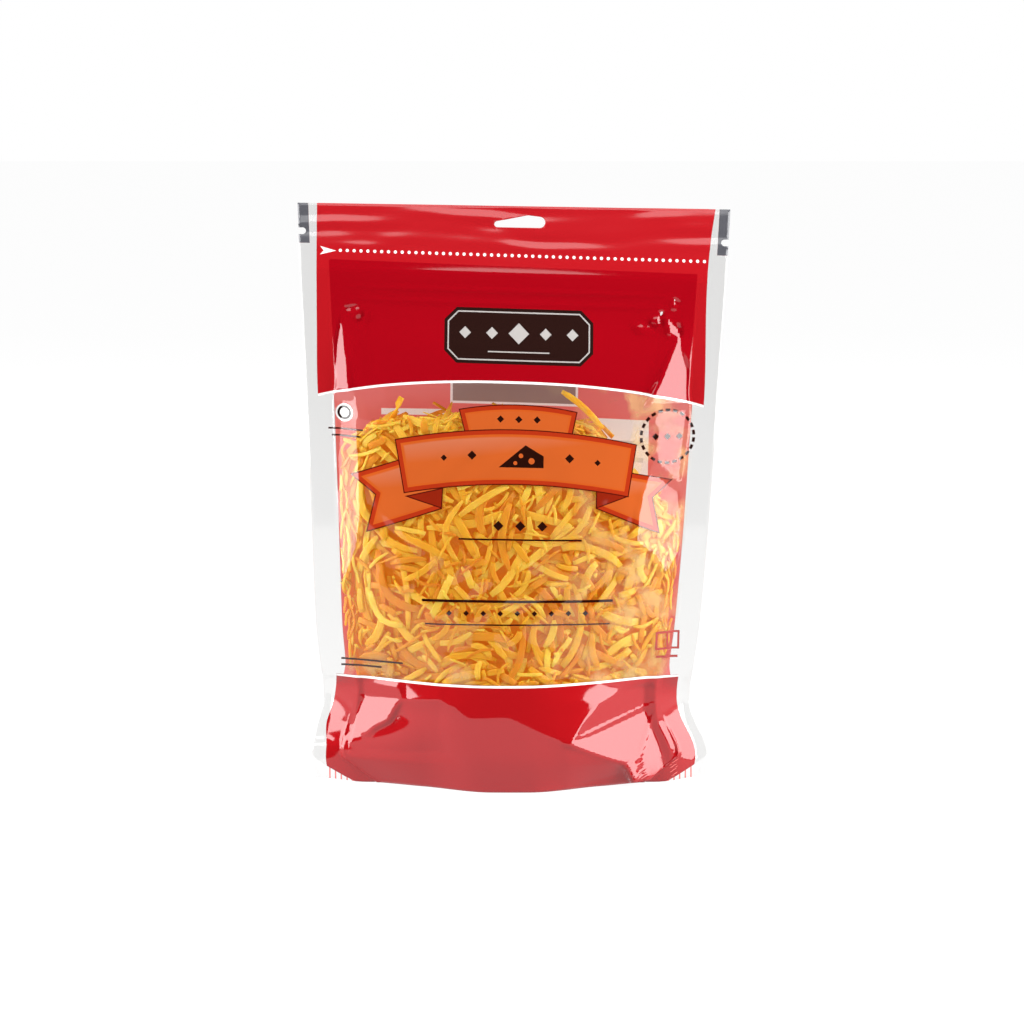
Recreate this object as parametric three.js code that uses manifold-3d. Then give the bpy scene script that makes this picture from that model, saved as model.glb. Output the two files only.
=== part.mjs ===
// A stand-up pouch of shredded cheddar: a zip-top film bag with a bottom gusset, filled and standing.
//
// Millimetres, +Z up. The pouch stands on its bottom rim at z = 0, its front looks along -Y and +X is to
// the right of the front. The film is sealed on both sides and along the top, so the closed, filled bag is
// one solid: two bulging panels, flat sealed borders, a header with a hang slot and tear notches, the ridges
// of the press-to-close zip, the pinched corners above the gusset, and the gusset that folds in underneath.
import * as THREE from "three";
import { ParametricGeometry } from "three/addons/geometries/ParametricGeometry.js";
import { mergeGeometries, mergeVertices } from "three/addons/utils/BufferGeometryUtils.js";
import Module from "manifold-3d";

// ---- Driving dimensions ----
const HEIGHT = 240; // middle of the top edge above the floor
const SEAL = 12; // width of the side seals
const SEAL_THICK = 1; // two films pressed together, drawn thick enough to handle
const HEADER_LOW = 215.6; // lower edge of the top seal

// Half of the outer width at each height: wide header, waist above the gusset, flared feet.
const HALF_WIDTH = [[0, 81.5], [11, 83], [35, 76.8], [69, 79.9], [165, 84.9], [HEIGHT, 89]];
// Half of the depth at the middle of the bag: full at the foot, thin at the zip.
const HALF_DEPTH = [[0, 21.5], [16, 24.5], [38, 24], [70, 22], [110, 18], [150, 13], [180, 8.5], [199, 3],
  [209, 1.8], [HEADER_LOW, 0.9], [221, 0.5], [HEIGHT, 0.5]];
// Slope of the film's level lines, which drop to the right as the bag settles.
const LEVEL_SLOPE = [[0, 0], [45, 0.002], [165, 0.031], [221, 0.031], [HEIGHT, 0.016]];
// Across the bag a panel is flat in its middle and falls to the seals: 1 - t ** flat, to the power round.
const CROSS_SECTION = { flat: 2.6, round: 0.85 };

// The filled bag sways a little to the left: this far sideways at each height.
const SWAY = [[0, -1.4], [11, -1.45], [28, -3.1], [120, -1.45], [HEIGHT, 0]];
const HEADER_BEND = 212; // above this the header falls back
const HEADER_SLOPE = 0.27; // and this far back per millimetre

const GUSSET_SEAL = { top: 11, reach: 13 }; // height of the gusset's corner seals, and how far in they reach
const GUSSET_RISE = 6; // the gusset's middle fold above the floor
const GUSSET_ROUND = 0.8; // power that rounds the gusset's roof
const FULL_GUSSET = 30; // depth of the bag where the roof has its full rise
const RIM = 2.2; // flat rim that the bag stands on
const CORNER = { lift: 1.5, from: 60, to: 78 }; // the corners' bottom edge is lifted off the floor

const ZIP_RIDGES = [{ at: 205.6, high: 0.9, wide: 1.1 }, { at: 200.6, high: 0.7, wide: 1.1 }];

const WAIST = { at: 37, reach: 13, pinch: 0.9 }; // height where the panels' sides are pulled in
const RELIEF_REACH = 8; // power that ends the panels' relief close to the seals
const MEETING = 3; // the relief fades where the panels are closer than this

// Relief of the cheese that presses on the film: two sizes of lumps, each in wandering rows.
const LUMP = { high: 0.55, low: 14, top: 150, fadeLow: 20, fadeTop: 12, sizes: [3.1, 5.3] };
const WANDER = { far: 1.8, long: 2.9 };

// Fold lines of the film on the panels: from, to, height (in is negative) and half of the fold's width.
const FRONT_FOLDS = [
  { from: [65, 38], to: [23, 20], high: 2.2, wide: 9 },
  { from: [23, 20], to: [56, 6], high: 1.6, wide: 7 },
  { from: [65, 38], to: [53, 5], high: 1.7, wide: 8 },
  { from: [64, 30], to: [74, 12], high: -1.4, wide: 6 },
  { from: [-66, 40], to: [-42, 37], high: -1.8, wide: 6 },
  { from: [-42, 37], to: [-74, 24], high: 2.0, wide: 8 },
  { from: [-66, 38], to: [-52, 22], high: 1.5, wide: 7 },
  { from: [72, 190], to: [56, 150], high: 1.8, wide: 9 },
  { from: [-71, 196], to: [-62, 150], high: 1.8, wide: 9 },
];
const BACK_FOLDS = [
  { from: [-65, 38], to: [-20, 24], high: 2.0, wide: 9 },
  { from: [-20, 24], to: [-55, 6], high: 1.5, wide: 7 },
  { from: [66, 40], to: [36, 33], high: -1.7, wide: 7 },
  { from: [36, 33], to: [70, 16], high: 2.0, wide: 8 },
  { from: [-71, 190], to: [-58, 148], high: 1.8, wide: 9 },
  { from: [71, 195], to: [60, 150], high: 1.8, wide: 9 },
];
const FOLD_END = { before: 0.6, after: 0.3 }; // a fold starts and ends over these shares of its width

// The hang slot in the header is a tapered hole around three circles, in order against the clock.
const SLOT = [{ x: -6.8, z: 232.7, r: 1.25 }, { x: 10.6, z: 233.4, r: 2.25 }, { x: 5.8, z: 233.7, r: 2.55 }];
const NOTCH = { z: 227.6, deep: 3, high: 2.7 }; // tear notches in the side edges

// Grid of the panels: columns over a panel and over a seal, and rows between these heights.
const PANEL_COLUMNS = 32;
const SEAL_COLUMNS = 2;
const CROWDING = 0.2; // share by which the columns draw together towards the seals
const ROW_BANDS = [
  { to: 44, rows: 12 },
  { to: 196, rows: 30 },
  { to: 209, rows: 11 },
  { to: HEIGHT, rows: 7 },
];
const GUSSET_COLUMNS = 6;
const CUTTER_DEPTH = 60;
const TINY = 1e-9;

// ---- Profiles ----

// A smooth line through stations of [position, value], level where the stations turn.
function along(stations, s) {
  const last = stations.length - 1;
  if (s <= stations[0][0]) return stations[0][1];
  if (s >= stations[last][0]) return stations[last][1];
  const i = stations.findIndex(([at]) => at > s) - 1;
  const rise = (k) => (stations[k + 1][1] - stations[k][1]) / (stations[k + 1][0] - stations[k][0]);
  const slope = (k) => {
    if (k === 0 || k === last) return rise(Math.min(k, last - 1));
    const [before, after] = [rise(k - 1), rise(k)];
    return before * after <= 0 ? 0 : (2 * before * after) / (before + after);
  };
  const step = stations[i + 1][0] - stations[i][0];
  const t = (s - stations[i][0]) / step;
  return (2 * t ** 3 - 3 * t ** 2 + 1) * stations[i][1] + (t ** 3 - 2 * t ** 2 + t) * step * slope(i)
    + (3 * t ** 2 - 2 * t ** 3) * stations[i + 1][1] + (t ** 3 - t ** 2) * step * slope(i + 1);
}

const smoothstep = (low, high, s) => THREE.MathUtils.smoothstep(s, low, high);

// Half of the width between the seals at height h, with the slanted corner seals of the gusset.
function halfPanel(h) {
  const corner = Math.max(0, 1 - h / GUSSET_SEAL.top);
  return along(HALF_WIDTH, h) - SEAL - GUSSET_SEAL.reach * corner;
}

// How far the header has fallen back at height h.
const fallBack = (h) => HEADER_SLOPE * Math.max(0, h - HEADER_BEND);

// ---- Film relief ----

// Raised by high along the line between two points, falling in straight flanks, and fading at its ends.
function fold({ from, to, high, wide }, x, h) {
  const [dx, dh] = [to[0] - from[0], to[1] - from[1]];
  const long = Math.hypot(dx, dh);
  const s = ((x - from[0]) * dx + (h - from[1]) * dh) / long;
  const off = Math.abs((x - from[0]) * dh - (h - from[1]) * dx) / long;
  const end = (distance) => smoothstep(-FOLD_END.before * wide, FOLD_END.after * wide, distance);
  return high * Math.max(0, 1 - off / wide) * end(s) * end(long - s);
}

// Lumps of the heap under the film, between the foot and the top of the cheese.
function lumps(x, h, turn) {
  const { low, top, fadeLow, fadeTop, sizes, high } = LUMP;
  const inside = smoothstep(low, low + fadeLow, h) * (1 - smoothstep(top - fadeTop, top, h));
  const wave = (size, shift) => Math.sin(x / size + WANDER.far * Math.sin(h / (WANDER.long * size) + shift))
    * Math.sin(h / size + WANDER.far * Math.sin(x / (WANDER.long * size) - shift));
  return high * inside * sizes.reduce((sum, size, i) => sum + wave(size, turn + i), 0);
}

// The zip inside the film lifts it in two level ridges.
const zip = (h) => ZIP_RIDGES.reduce((sum, r) => sum + r.high * Math.exp(-(((h - r.at) / r.wide) ** 2)), 0);

// How far a panel stands out from the middle of the bag, where t runs from -1 to 1 between the seals.
function standOut({ folds, turn }, t, x, h) {
  const waist = Math.exp(-(((h - WAIST.at) / WAIST.reach) ** 2));
  const across = (1 - Math.abs(t) ** CROSS_SECTION.flat) ** (CROSS_SECTION.round + WAIST.pinch * waist);
  const bulge = (along(HALF_DEPTH, h) - SEAL_THICK / 2) * across;
  const relief = folds.reduce((sum, f) => sum + fold(f, x, h), 0) + lumps(x, h, turn) + zip(h);
  const free = (1 - Math.abs(t) ** RELIEF_REACH) * smoothstep(0, MEETING, bulge + 2 * zip(h));
  return SEAL_THICK / 2 + Math.max(0, bulge + relief * free);
}

// ---- Surfaces ----

const FRONT = { side: -1, folds: FRONT_FOLDS, turn: 0.4 };
const BACK = { side: 1, folds: BACK_FOLDS, turn: 2.1 };

// Height of row v, from 0 at the floor to 1 at the top edge.
const ALL_ROWS = ROW_BANDS.reduce((sum, band) => sum + band.rows, 0);
function rowHeight(v) {
  let row = v * ALL_ROWS;
  let low = 0;
  for (const { to, rows } of ROW_BANDS) {
    if (row <= rows) return low + ((to - low) * row) / rows;
    row -= rows;
    low = to;
  }
  return HEIGHT;
}

// A panel at column u, from 0 at the left edge to 1 at the right, and height h: its place across and out.
const ALL_COLUMNS = PANEL_COLUMNS + 2 * SEAL_COLUMNS;
function filmAt(side, u, h) {
  const column = u * ALL_COLUMNS - ALL_COLUMNS / 2;
  const share = Math.min(1, Math.abs(column) / (PANEL_COLUMNS / 2));
  const beyond = Math.max(0, (Math.abs(column) - PANEL_COLUMNS / 2) / SEAL_COLUMNS);
  const t = Math.sin((share * (1 - CROWDING) + share ** 3 * CROWDING) * (Math.PI / 2));
  const inner = halfPanel(h);
  const x = Math.sign(column) * (inner * t + (along(HALF_WIDTH, h) - inner) * beyond);
  return { x, out: standOut(side, t, x, h) };
}

// A point of the bag from its upright place (x, h) and its distance y back from the middle.
function place(x, h, y, target) {
  const low = Math.max(0, 1 - h / GUSSET_SEAL.top);
  const lift = CORNER.lift * smoothstep(CORNER.from, CORNER.to, Math.abs(x)) * low;
  target.set(x + along(SWAY, h), fallBack(h) + y, h + lift - along(LEVEL_SLOPE, h) * x);
}

function panel(side) {
  return new ParametricGeometry((u, v, target) => {
    const h = rowHeight(v);
    const { x, out } = filmAt(side, side === FRONT ? u : 1 - u, h);
    place(x, h, side.side * out, target);
  }, ALL_COLUMNS, ALL_ROWS);
}

// The gusset under the bag: a flat rim all round, and a shallow roof that rises to its middle fold.
// At both ends it closes to the two corners of the side seals' cut edge.
function gusset() {
  const steps = GUSSET_COLUMNS + 2;
  return new ParametricGeometry((fromRight, v, target) => {
    const u = 1 - fromRight;
    const front = filmAt(FRONT, u, 0);
    const depth = front.out + filmAt(BACK, u, 0).out;
    const atEnd = u < TINY || u > 1 - TINY;
    const step = steps * (atEnd ? Math.round(v - TINY) : v);
    const rim = Math.min(RIM, depth / 4);
    const inner = Math.min(1, Math.max(0, (step - 1) / GUSSET_COLUMNS));
    let across = rim + (depth - 2 * rim) * inner;
    if (step < 1) across = rim * step;
    if (step > steps - 1) across = depth - rim * (steps - step);
    const rise = GUSSET_RISE * Math.min(1, depth / FULL_GUSSET);
    place(front.x, 0, across - front.out, target);
    target.z += rise * Math.max(0, 1 - Math.abs(2 * inner - 1)) ** GUSSET_ROUND;
  }, ALL_COLUMNS, steps);
}

// A narrow strip that closes the film's cut edge, from the back panel to the front one. The route gives
// the column and the height at each share of the strip's length.
function cutEdge(route, steps) {
  return new ParametricGeometry((u, v, target) => {
    const [column, h] = route(v);
    const side = u < 0.5 ? BACK : FRONT;
    const { x, out } = filmAt(side, column, h);
    place(x, h, side.side * out, target);
  }, 1, steps);
}

// ---- Solids ----

const wasm = await Module();
wasm.setup();

function solid(geometry) {
  const bare = geometry.clone();
  bare.deleteAttribute("normal");
  bare.deleteAttribute("uv");
  const merged = mergeVertices(bare, 1e-4);
  const corners = merged.index.array;
  const triVerts = [];
  for (let i = 0; i < corners.length; i += 3) {
    const [a, b, c] = corners.slice(i, i + 3);
    if (a !== b && b !== c && c !== a) triVerts.push(a, b, c);
  }
  return new wasm.Manifold(new wasm.Mesh({
    numProp: 3,
    vertProperties: merged.attributes.position.array,
    triVerts: new Uint32Array(triVerts),
  }));
}

function geometryOf(body) {
  const { vertProperties, triVerts } = body.getMesh();
  const geometry = new THREE.BufferGeometry();
  geometry.setAttribute("position", new THREE.BufferAttribute(vertProperties, 3));
  geometry.setIndex(new THREE.BufferAttribute(triVerts, 1));
  geometry.computeVertexNormals();
  return geometry;
}

// A cutter through the bag from front to back, with the outline given across (x) and up (z).
function cutter(outline) {
  const plain = { depth: CUTTER_DEPTH, bevelEnabled: false, curveSegments: 8 };
  const shape = new THREE.ExtrudeGeometry(outline, plain);
  shape.rotateX(Math.PI / 2).translate(0, CUTTER_DEPTH / 2, 0);
  return solid(shape);
}

// The hang slot: the smooth outline around its circles. Between two circles the outline is the straight
// line that touches both, and facing is the angle that this line faces.
function hangSlot() {
  const facing = SLOT.map((from, i) => {
    const to = SLOT[(i + 1) % SLOT.length];
    const heading = Math.atan2(to.z - from.z, to.x - from.x);
    return heading - Math.acos((from.r - to.r) / Math.hypot(to.x - from.x, to.z - from.z));
  });
  const outline = new THREE.Shape();
  SLOT.forEach(({ x, z, r }, i) => {
    outline.absarc(x, z, r, facing[(i + SLOT.length - 1) % SLOT.length], facing[i], false);
  });
  return cutter(outline);
}

// A tear notch in the left (-1) or right (1) edge, with a round end.
function tearNotch(side) {
  const { z, deep, high } = NOTCH;
  const half = along(HALF_WIDTH, z);
  const rim = side * half + along(SWAY, z);
  const middle = z - along(LEVEL_SLOPE, z) * side * half;
  const end = rim - side * (deep - high / 2);
  const outline = new THREE.Shape();
  outline.moveTo(rim + side * deep, middle - high / 2);
  outline.lineTo(end, middle - high / 2);
  outline.absarc(end, middle, high / 2, -Math.PI / 2, Math.PI / 2, side > 0);
  outline.lineTo(rim + side * deep, middle + high / 2);
  return cutter(outline);
}

function pouch() {
  const skin = mergeGeometries([
    panel(FRONT),
    panel(BACK),
    gusset(),
    cutEdge((v) => [v, HEIGHT], ALL_COLUMNS),
    cutEdge((v) => [0, rowHeight(v)], ALL_ROWS),
    cutEdge((v) => [1, rowHeight(1 - v)], ALL_ROWS),
  ]);
  return solid(skin).subtract(hangSlot()).subtract(tearNotch(-1)).subtract(tearNotch(1));
}

const group = new THREE.Group();
const film = new THREE.MeshStandardMaterial({ color: 0xb3101c, roughness: 0.25, metalness: 0 });
const bag = new THREE.Mesh(geometryOf(pouch()), film);
bag.name = "pouch";
group.add(bag);

export default group;
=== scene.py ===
# %% [markdown]
# # A bag of shredded cheddar
# The real object is a stand-up pouch: two films sealed at the sides and the top, a folded gusset at the
# foot, a press-to-close zip below the header, and cheese shreds behind a clear window in the print. The
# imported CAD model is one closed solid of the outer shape. Here that solid is replaced by what it stands
# for: thin films with their print, the zip strips, and the heap of shreds that holds the bag open.

import math

import bmesh
import bpy
import numpy as np
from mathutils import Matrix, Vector


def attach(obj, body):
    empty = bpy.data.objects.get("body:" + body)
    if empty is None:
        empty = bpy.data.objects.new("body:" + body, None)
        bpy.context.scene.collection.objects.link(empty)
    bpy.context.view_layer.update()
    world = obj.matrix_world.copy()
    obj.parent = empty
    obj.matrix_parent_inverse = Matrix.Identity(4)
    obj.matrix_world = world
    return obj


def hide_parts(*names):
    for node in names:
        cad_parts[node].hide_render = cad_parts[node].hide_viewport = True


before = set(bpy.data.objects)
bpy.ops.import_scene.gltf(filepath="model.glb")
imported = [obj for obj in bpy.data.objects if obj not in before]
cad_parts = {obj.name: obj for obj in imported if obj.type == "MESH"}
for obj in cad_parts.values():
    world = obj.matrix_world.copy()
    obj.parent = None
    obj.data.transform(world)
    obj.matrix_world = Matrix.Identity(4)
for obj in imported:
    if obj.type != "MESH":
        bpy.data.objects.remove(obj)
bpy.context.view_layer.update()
MM = 0.001  # all forms are worked out in millimetres and turned into metres at the end

# %% [markdown]
# ## Camera
# The photograph was taken from the front, a little above the middle of the bag, with a long lens: the
# sides of the bag hardly converge. A camera 1.5 m away that sees 424 mm of width at the bag gives the
# same scale and framing.

# %% Camera
CAMERA_AWAY = 1500
CAMERA_RAISED = math.radians(8)
CAMERA_AIM = Vector((-0.8, 0, 114))
WIDTH_SEEN = 424

camera = bpy.data.objects.new("photo_camera", bpy.data.cameras.new("photo_camera"))
camera.data.lens = camera.data.sensor_width * CAMERA_AWAY / WIDTH_SEEN
camera_back = Vector((0, -math.cos(CAMERA_RAISED), math.sin(CAMERA_RAISED)))
camera.location = (CAMERA_AIM + CAMERA_AWAY * camera_back) * MM
camera.rotation_euler = (math.pi / 2 - CAMERA_RAISED, 0, 0)
bpy.context.scene.collection.objects.link(camera)
bpy.context.scene.camera = camera
bpy.context.scene.view_settings.view_transform = "Standard"
print("lens, mm:", round(camera.data.lens, 1))

# %% [markdown]
# ## Lights
# Film shows its form by what it mirrors. Where the photographed bag mirrors nothing the red is deep, so
# the room in front stays dark. The pale table is mirrored by the foot, one soft box high in front by the
# header that leans back, and a tall box on each side by the folds at the shoulders and the feet. Two
# more, overhead and behind the bag, light the heap of cheese and the edges of the films.

# %% Lights
SOFTBOXES = {
    # azimuth and elevation in degrees from the front of the bag, distance and size in mm, brightness
    "front_high": {"toward": (0, 55), "away": 1300, "size": (1500, 620), "glow": 2.2},
    "left_tall": {"toward": (-84, 17), "away": 680, "size": (560, 600), "glow": 5.6},
    "right_tall": {"toward": (76, 17), "away": 680, "size": (620, 600), "glow": 5.6},
    "overhead": {"toward": (180, 82), "away": 1300, "size": (1200, 1200), "glow": 1.6},
    "rear": {"toward": (180, 38), "away": 1600, "size": (1800, 900), "glow": 1.6},
}
WATTS_FOR_GLOW = 4  # an area lamp's watts per square metre for each unit of brightness


def soft_box(name, toward, away, size, glow):
    """A rectangular lamp that faces the middle of the bag and that the camera doesn't see."""
    azimuth, elevation = (math.radians(angle) for angle in toward)
    flat = math.cos(elevation)
    outward = Vector((math.sin(azimuth) * flat, -math.cos(azimuth) * flat, math.sin(elevation)))
    lamp = bpy.data.lights.new(name, "AREA")
    lamp.shape = "RECTANGLE"
    lamp.size = size[0] * MM
    lamp.size_y = size[1] * MM
    lamp.energy = WATTS_FOR_GLOW * glow * lamp.size * lamp.size_y
    box = bpy.data.objects.new(name, lamp)
    box.location = (CAMERA_AIM + away * outward) * MM
    box.rotation_euler = outward.to_track_quat("Z", "Y").to_euler()
    box.visible_camera = False
    bpy.context.scene.collection.objects.link(box)


for name, settings in SOFTBOXES.items():
    soft_box(name, **settings)
print("soft boxes:", len(SOFTBOXES))

# %% [markdown]
# ## Shader maths
# Print, shine and cheese are all drawn by formulas on a few coordinates. A formula is easier to read as
# Python than as a page of node calls, so a small class wraps a socket: adding or multiplying wires makes
# the Math nodes, and one method makes any other node.

# %% Shader maths
PRINT_BLUR = 0.12  # mm over which a printed edge fades, about a third of a pixel


class Wire:
    """A shader socket that Python's arithmetic signs work on."""

    def __init__(self, tree, socket):
        self.tree = tree
        self.socket = socket

    def node(self, kind, settings=None, inputs=None, output=0):
        """Any node: its type, its settings, then the values or wires of its sockets."""
        made = self.tree.nodes.new(kind)
        for name, value in (settings or {}).items():
            if name == "stops":
                lay_stops(made.color_ramp.elements, value)
            else:
                setattr(made, name, value)
        for name, value in (inputs or {}).items():
            if isinstance(value, Wire):
                self.tree.links.new(value.socket, made.inputs[name])
            else:
                made.inputs[name].default_value = value
        return Wire(self.tree, made.outputs[output] if made.outputs else None)

    def math(self, operation, *values, clamp=False):
        """A Math node."""
        settings = {"operation": operation, "use_clamp": clamp}
        return self.node("ShaderNodeMath", settings, dict(enumerate(values)))

    def __add__(self, other):
        return self.math("ADD", self, other)

    def __sub__(self, other):
        return self.math("SUBTRACT", self, other)

    def __rsub__(self, other):
        return self.math("SUBTRACT", other, self)

    def __mul__(self, other):
        return self.math("MULTIPLY", self, other)

    def __truediv__(self, other):
        return self.math("DIVIDE", self, other)

    def __pow__(self, other):
        return self.math("POWER", self, other)

    def __abs__(self):
        return self.math("ABSOLUTE", self)

    __radd__ = __add__
    __rmul__ = __mul__

    def times_plus(self, factor, term):
        return self.math("MULTIPLY_ADD", self, factor, term)

    def least(self, other):
        """The smaller of the two. Of two distances inside shapes: inside both."""
        return self.math("MINIMUM", self, other)

    def most(self, other):
        """The larger of the two. Of two distances inside shapes: inside either."""
        return self.math("MAXIMUM", self, other)

    def clamped(self):
        """Kept between 0 and 1."""
        return self.math("MULTIPLY_ADD", self, 1.0, 0.0, clamp=True)

    def ink(self, blur=PRINT_BLUR):
        """1 where a distance is above zero, 0 below, with a soft edge."""
        return self.math("MULTIPLY_ADD", self, 1 / blur, 0.5, clamp=True)

    def painted(self, colour, mask):
        """This colour, covered by another one where the mask is 1."""
        inputs = {0: mask, 6: self, 7: colour}
        return self.node("ShaderNodeMix", {"data_type": "RGBA"}, inputs, output=2)


def lay_stops(elements, stops):
    """Gives a colour ramp its stops, each a place and a colour."""
    while len(elements) < len(stops):
        elements.new(1)
    for element, (place_on_ramp, colour) in zip(elements, stops):
        element.position = place_on_ramp
        element.color = colour


def srgb(red, green, blue):
    """A colour picked on a screen, 0 to 255, as the linear colour that a shader takes."""
    linear = [((c / 255 + 0.055) / 1.055) ** 2.4 if c > 10 else c / 255 / 12.92 for c in (red, green, blue)]
    return (*linear, 1)


def new_material(name):
    """An empty node material and a first wire in it, from which the others are made."""
    material = bpy.data.materials.new(name)
    material.use_nodes = True
    material.node_tree.nodes.clear()
    return material, Wire(material.node_tree, None)


def finish_material(wire, shader):
    """Sends a shader to the material's output."""
    wire.node("ShaderNodeOutputMaterial", inputs={"Surface": shader})


# %% [markdown]
# ## Floor and room
# A pale table under the bag, and a white room that only the camera sees. To the film the room is dark,
# as it was for the photographed bag. A white table under lamps would be brighter in some places than in
# others, so this one glows evenly by itself and its paint is dark, which also keeps shadows faint. Its
# front edge lies just outside the picture, so the film above the foot mirrors the dark room and not more
# table.

# %% Floor and room
FLOOR = {"left": -3000, "right": 3000, "front": -750, "back": 6000}
FLOOR_SPECKLE = {"scale": 40.0, "dark": (0.05, 0.05, 0.05, 1), "light": (0.06, 0.06, 0.06, 1)}
FLOOR_GLOW = 0.96
ROOM_FILL = 0.35  # soft light on rough surfaces from all round
ROOM_MIRRORED = 0.02  # how bright the room is in a mirror

floor_bm = bmesh.new()
bmesh.ops.create_grid(floor_bm, x_segments=1, y_segments=1, size=0.5)
floor_size = Vector((FLOOR["right"] - FLOOR["left"], FLOOR["back"] - FLOOR["front"], 1))
floor_middle = Vector((FLOOR["left"] + FLOOR["right"], FLOOR["back"] + FLOOR["front"], 0)) / 2
bmesh.ops.scale(floor_bm, vec=floor_size * MM, verts=floor_bm.verts)
bmesh.ops.translate(floor_bm, vec=floor_middle * MM, verts=floor_bm.verts)
floor_mesh = bpy.data.meshes.new("floor")
floor_bm.to_mesh(floor_mesh)
floor_bm.free()
floor = bpy.data.objects.new("floor", floor_mesh)
bpy.context.scene.collection.objects.link(floor)
floor_paint, wire = new_material("floor_paint")
speckle = wire.node("ShaderNodeTexNoise", inputs={"Scale": FLOOR_SPECKLE["scale"], "Detail": 4.0})
floor_colour = wire.node("ShaderNodeMix", {"data_type": "RGBA"}, {
    0: speckle, 6: FLOOR_SPECKLE["light"], 7: FLOOR_SPECKLE["dark"]}, output=2)
finish_material(wire, wire.node("ShaderNodeBsdfPrincipled", inputs={
    "Base Color": floor_colour, "Roughness": 0.9,
    "Emission Color": (1, 1, 1, 1), "Emission Strength": FLOOR_GLOW}))
floor_mesh.materials.append(floor_paint)

world = bpy.data.worlds.new("room")
bpy.context.scene.world = world
world.use_nodes = True
world.node_tree.nodes.clear()
wire = Wire(world.node_tree, None)
camera_sees = wire.node("ShaderNodeLightPath")
mirror_sees = wire.node("ShaderNodeLightPath", output=3)
glow_of_room = (1 - mirror_sees) * (ROOM_FILL - ROOM_MIRRORED) + ROOM_MIRRORED
glow_of_room = glow_of_room + camera_sees * (1.0 - ROOM_FILL)  # 1, white, for the camera
room = wire.node("ShaderNodeBackground", inputs={"Color": (1, 1, 1, 1), "Strength": glow_of_room})
wire.node("ShaderNodeOutputWorld", inputs={"Surface": room})
print("floor, m:", [round(c, 2) for c in floor.dimensions])

# %% [markdown]
# ## The form of the bag
# A sealed bag has a simple logic. Flat strips at the sides and top keep their width, the panels between
# them swell with the filling, and the swelling falls to nothing at every seal. The bag could be sculpted
# or left to a cloth simulation, but smooth lines through a few stations are easier to steer. They are the
# stations of the CAD part, so the films lie close to its surface. x and h are measured on the flattened
# bag, in millimetres.

# %% The form of the bag
HEIGHT = 240
SEAL_WIDE = [[0, 12], [44, 12], [56, 10.4], [155, 10.4], [168, 12], [HEIGHT, 12]]
HALF_WIDTH = [[0, 81.5], [11, 83], [35, 76.8], [69, 79.9], [165, 84.9], [HEIGHT, 89]]
GUSSET_TOP = 11  # below this height the corners are sealed at a slant
GUSSET_REACH = 13


def along(stations, s):
    """A smooth line through stations that never overshoots them."""
    at, value = np.array(stations, float).T
    s = np.clip(s, at[0], at[-1])
    rise = np.diff(value) / np.diff(at)
    product = rise[:-1] * rise[1:]
    total = rise[:-1] + rise[1:]
    turn = np.where(product > 0, 2 * product / np.where(total == 0, 1, total), 0)
    slope = np.concatenate([rise[:1], turn, rise[-1:]])
    i = np.clip(np.searchsorted(at, s, side="right") - 1, 0, len(at) - 2)
    step = at[i + 1] - at[i]
    t = (s - at[i]) / step
    start = (2 * t**3 - 3 * t**2 + 1) * value[i] + (t**3 - 2 * t**2 + t) * step * slope[i]
    return start + (3 * t**2 - 2 * t**3) * value[i + 1] + (t**3 - t**2) * step * slope[i + 1]


def smoothstep(low, high, s):
    """0 below low, 1 above high, and a smooth step between them."""
    t = np.clip((s - low) / (high - low), 0, 1)
    return t * t * (3 - 2 * t)


def half_panel(h):
    """Half width of the free part of a panel, between the seals."""
    return along(HALF_WIDTH, h) - along(SEAL_WIDE, h) - GUSSET_REACH * np.maximum(0, 1 - h / GUSSET_TOP)


print("half panel at the waist, mm:", round(float(half_panel(np.array(35.0))), 1))

# %% [markdown]
# ## Folds, lumps and ribs
# Low relief lies on that form: straight folds where the film is pulled, soft lumps where the cheese is
# felt through it, and the ribs of the zip. A displacement texture could carry it, but the zip strips and
# the shreds have to follow the same surface, so each kind of relief is a function of x and h.

# %% Folds, lumps and ribs
FOLD_END = {"before": 0.6, "after": 0.3}  # a fold fades out over this share of its width at each end
WANDER = {"far": 1.8, "long": 2.9}  # how crooked the rows of bumps are
LUMP = {"high": 0.2, "low": 44, "top": 150, "fade_low": 14, "fade_top": 12, "sizes": (3.1, 5.3)}
ZIP_RIDGES = [{"at": 205.6, "high": 0.35, "wide": 1.3}, {"at": 200.6, "high": 0.3, "wide": 1.2}]


def fold(crease, x, h):
    """Height of one straight fold, a ridge or a valley."""
    (ax, ah), (bx, bh) = crease["from"], crease["to"]
    dx, dh = bx - ax, bh - ah
    long = math.hypot(dx, dh)
    s = ((x - ax) * dx + (h - ah) * dh) / long
    off = ((x - ax) * dh - (h - ah) * dx) / long
    wide = crease["wide"]
    flank = np.maximum(0, 1 - np.abs(off) / wide)
    starts = smoothstep(-FOLD_END["before"] * wide, FOLD_END["after"] * wide, s)
    ends = smoothstep(-FOLD_END["before"] * wide, FOLD_END["after"] * wide, long - s)
    return crease["high"] * flank * starts * ends


def wave(x, h, size, shift):
    """Irregular bumps of one size."""
    across = np.sin(x / size + WANDER["far"] * np.sin(h / (WANDER["long"] * size) + shift))
    return across * np.sin(h / size + WANDER["far"] * np.sin(x / (WANDER["long"] * size) - shift))


def lumps(x, h, turn):
    """The cheese felt through the film."""
    rises = smoothstep(LUMP["low"], LUMP["low"] + LUMP["fade_low"], h)
    inside = rises * (1 - smoothstep(LUMP["top"] - LUMP["fade_top"], LUMP["top"], h))
    return LUMP["high"] * inside * sum(wave(x, h, size, turn + i) for i, size in enumerate(LUMP["sizes"]))


def zip_ridges(h):
    """How far the ribs of the closed zip push the film out."""
    return sum(r["high"] * np.exp(-(((h - r["at"]) / r["wide"]) ** 2)) for r in ZIP_RIDGES)


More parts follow.
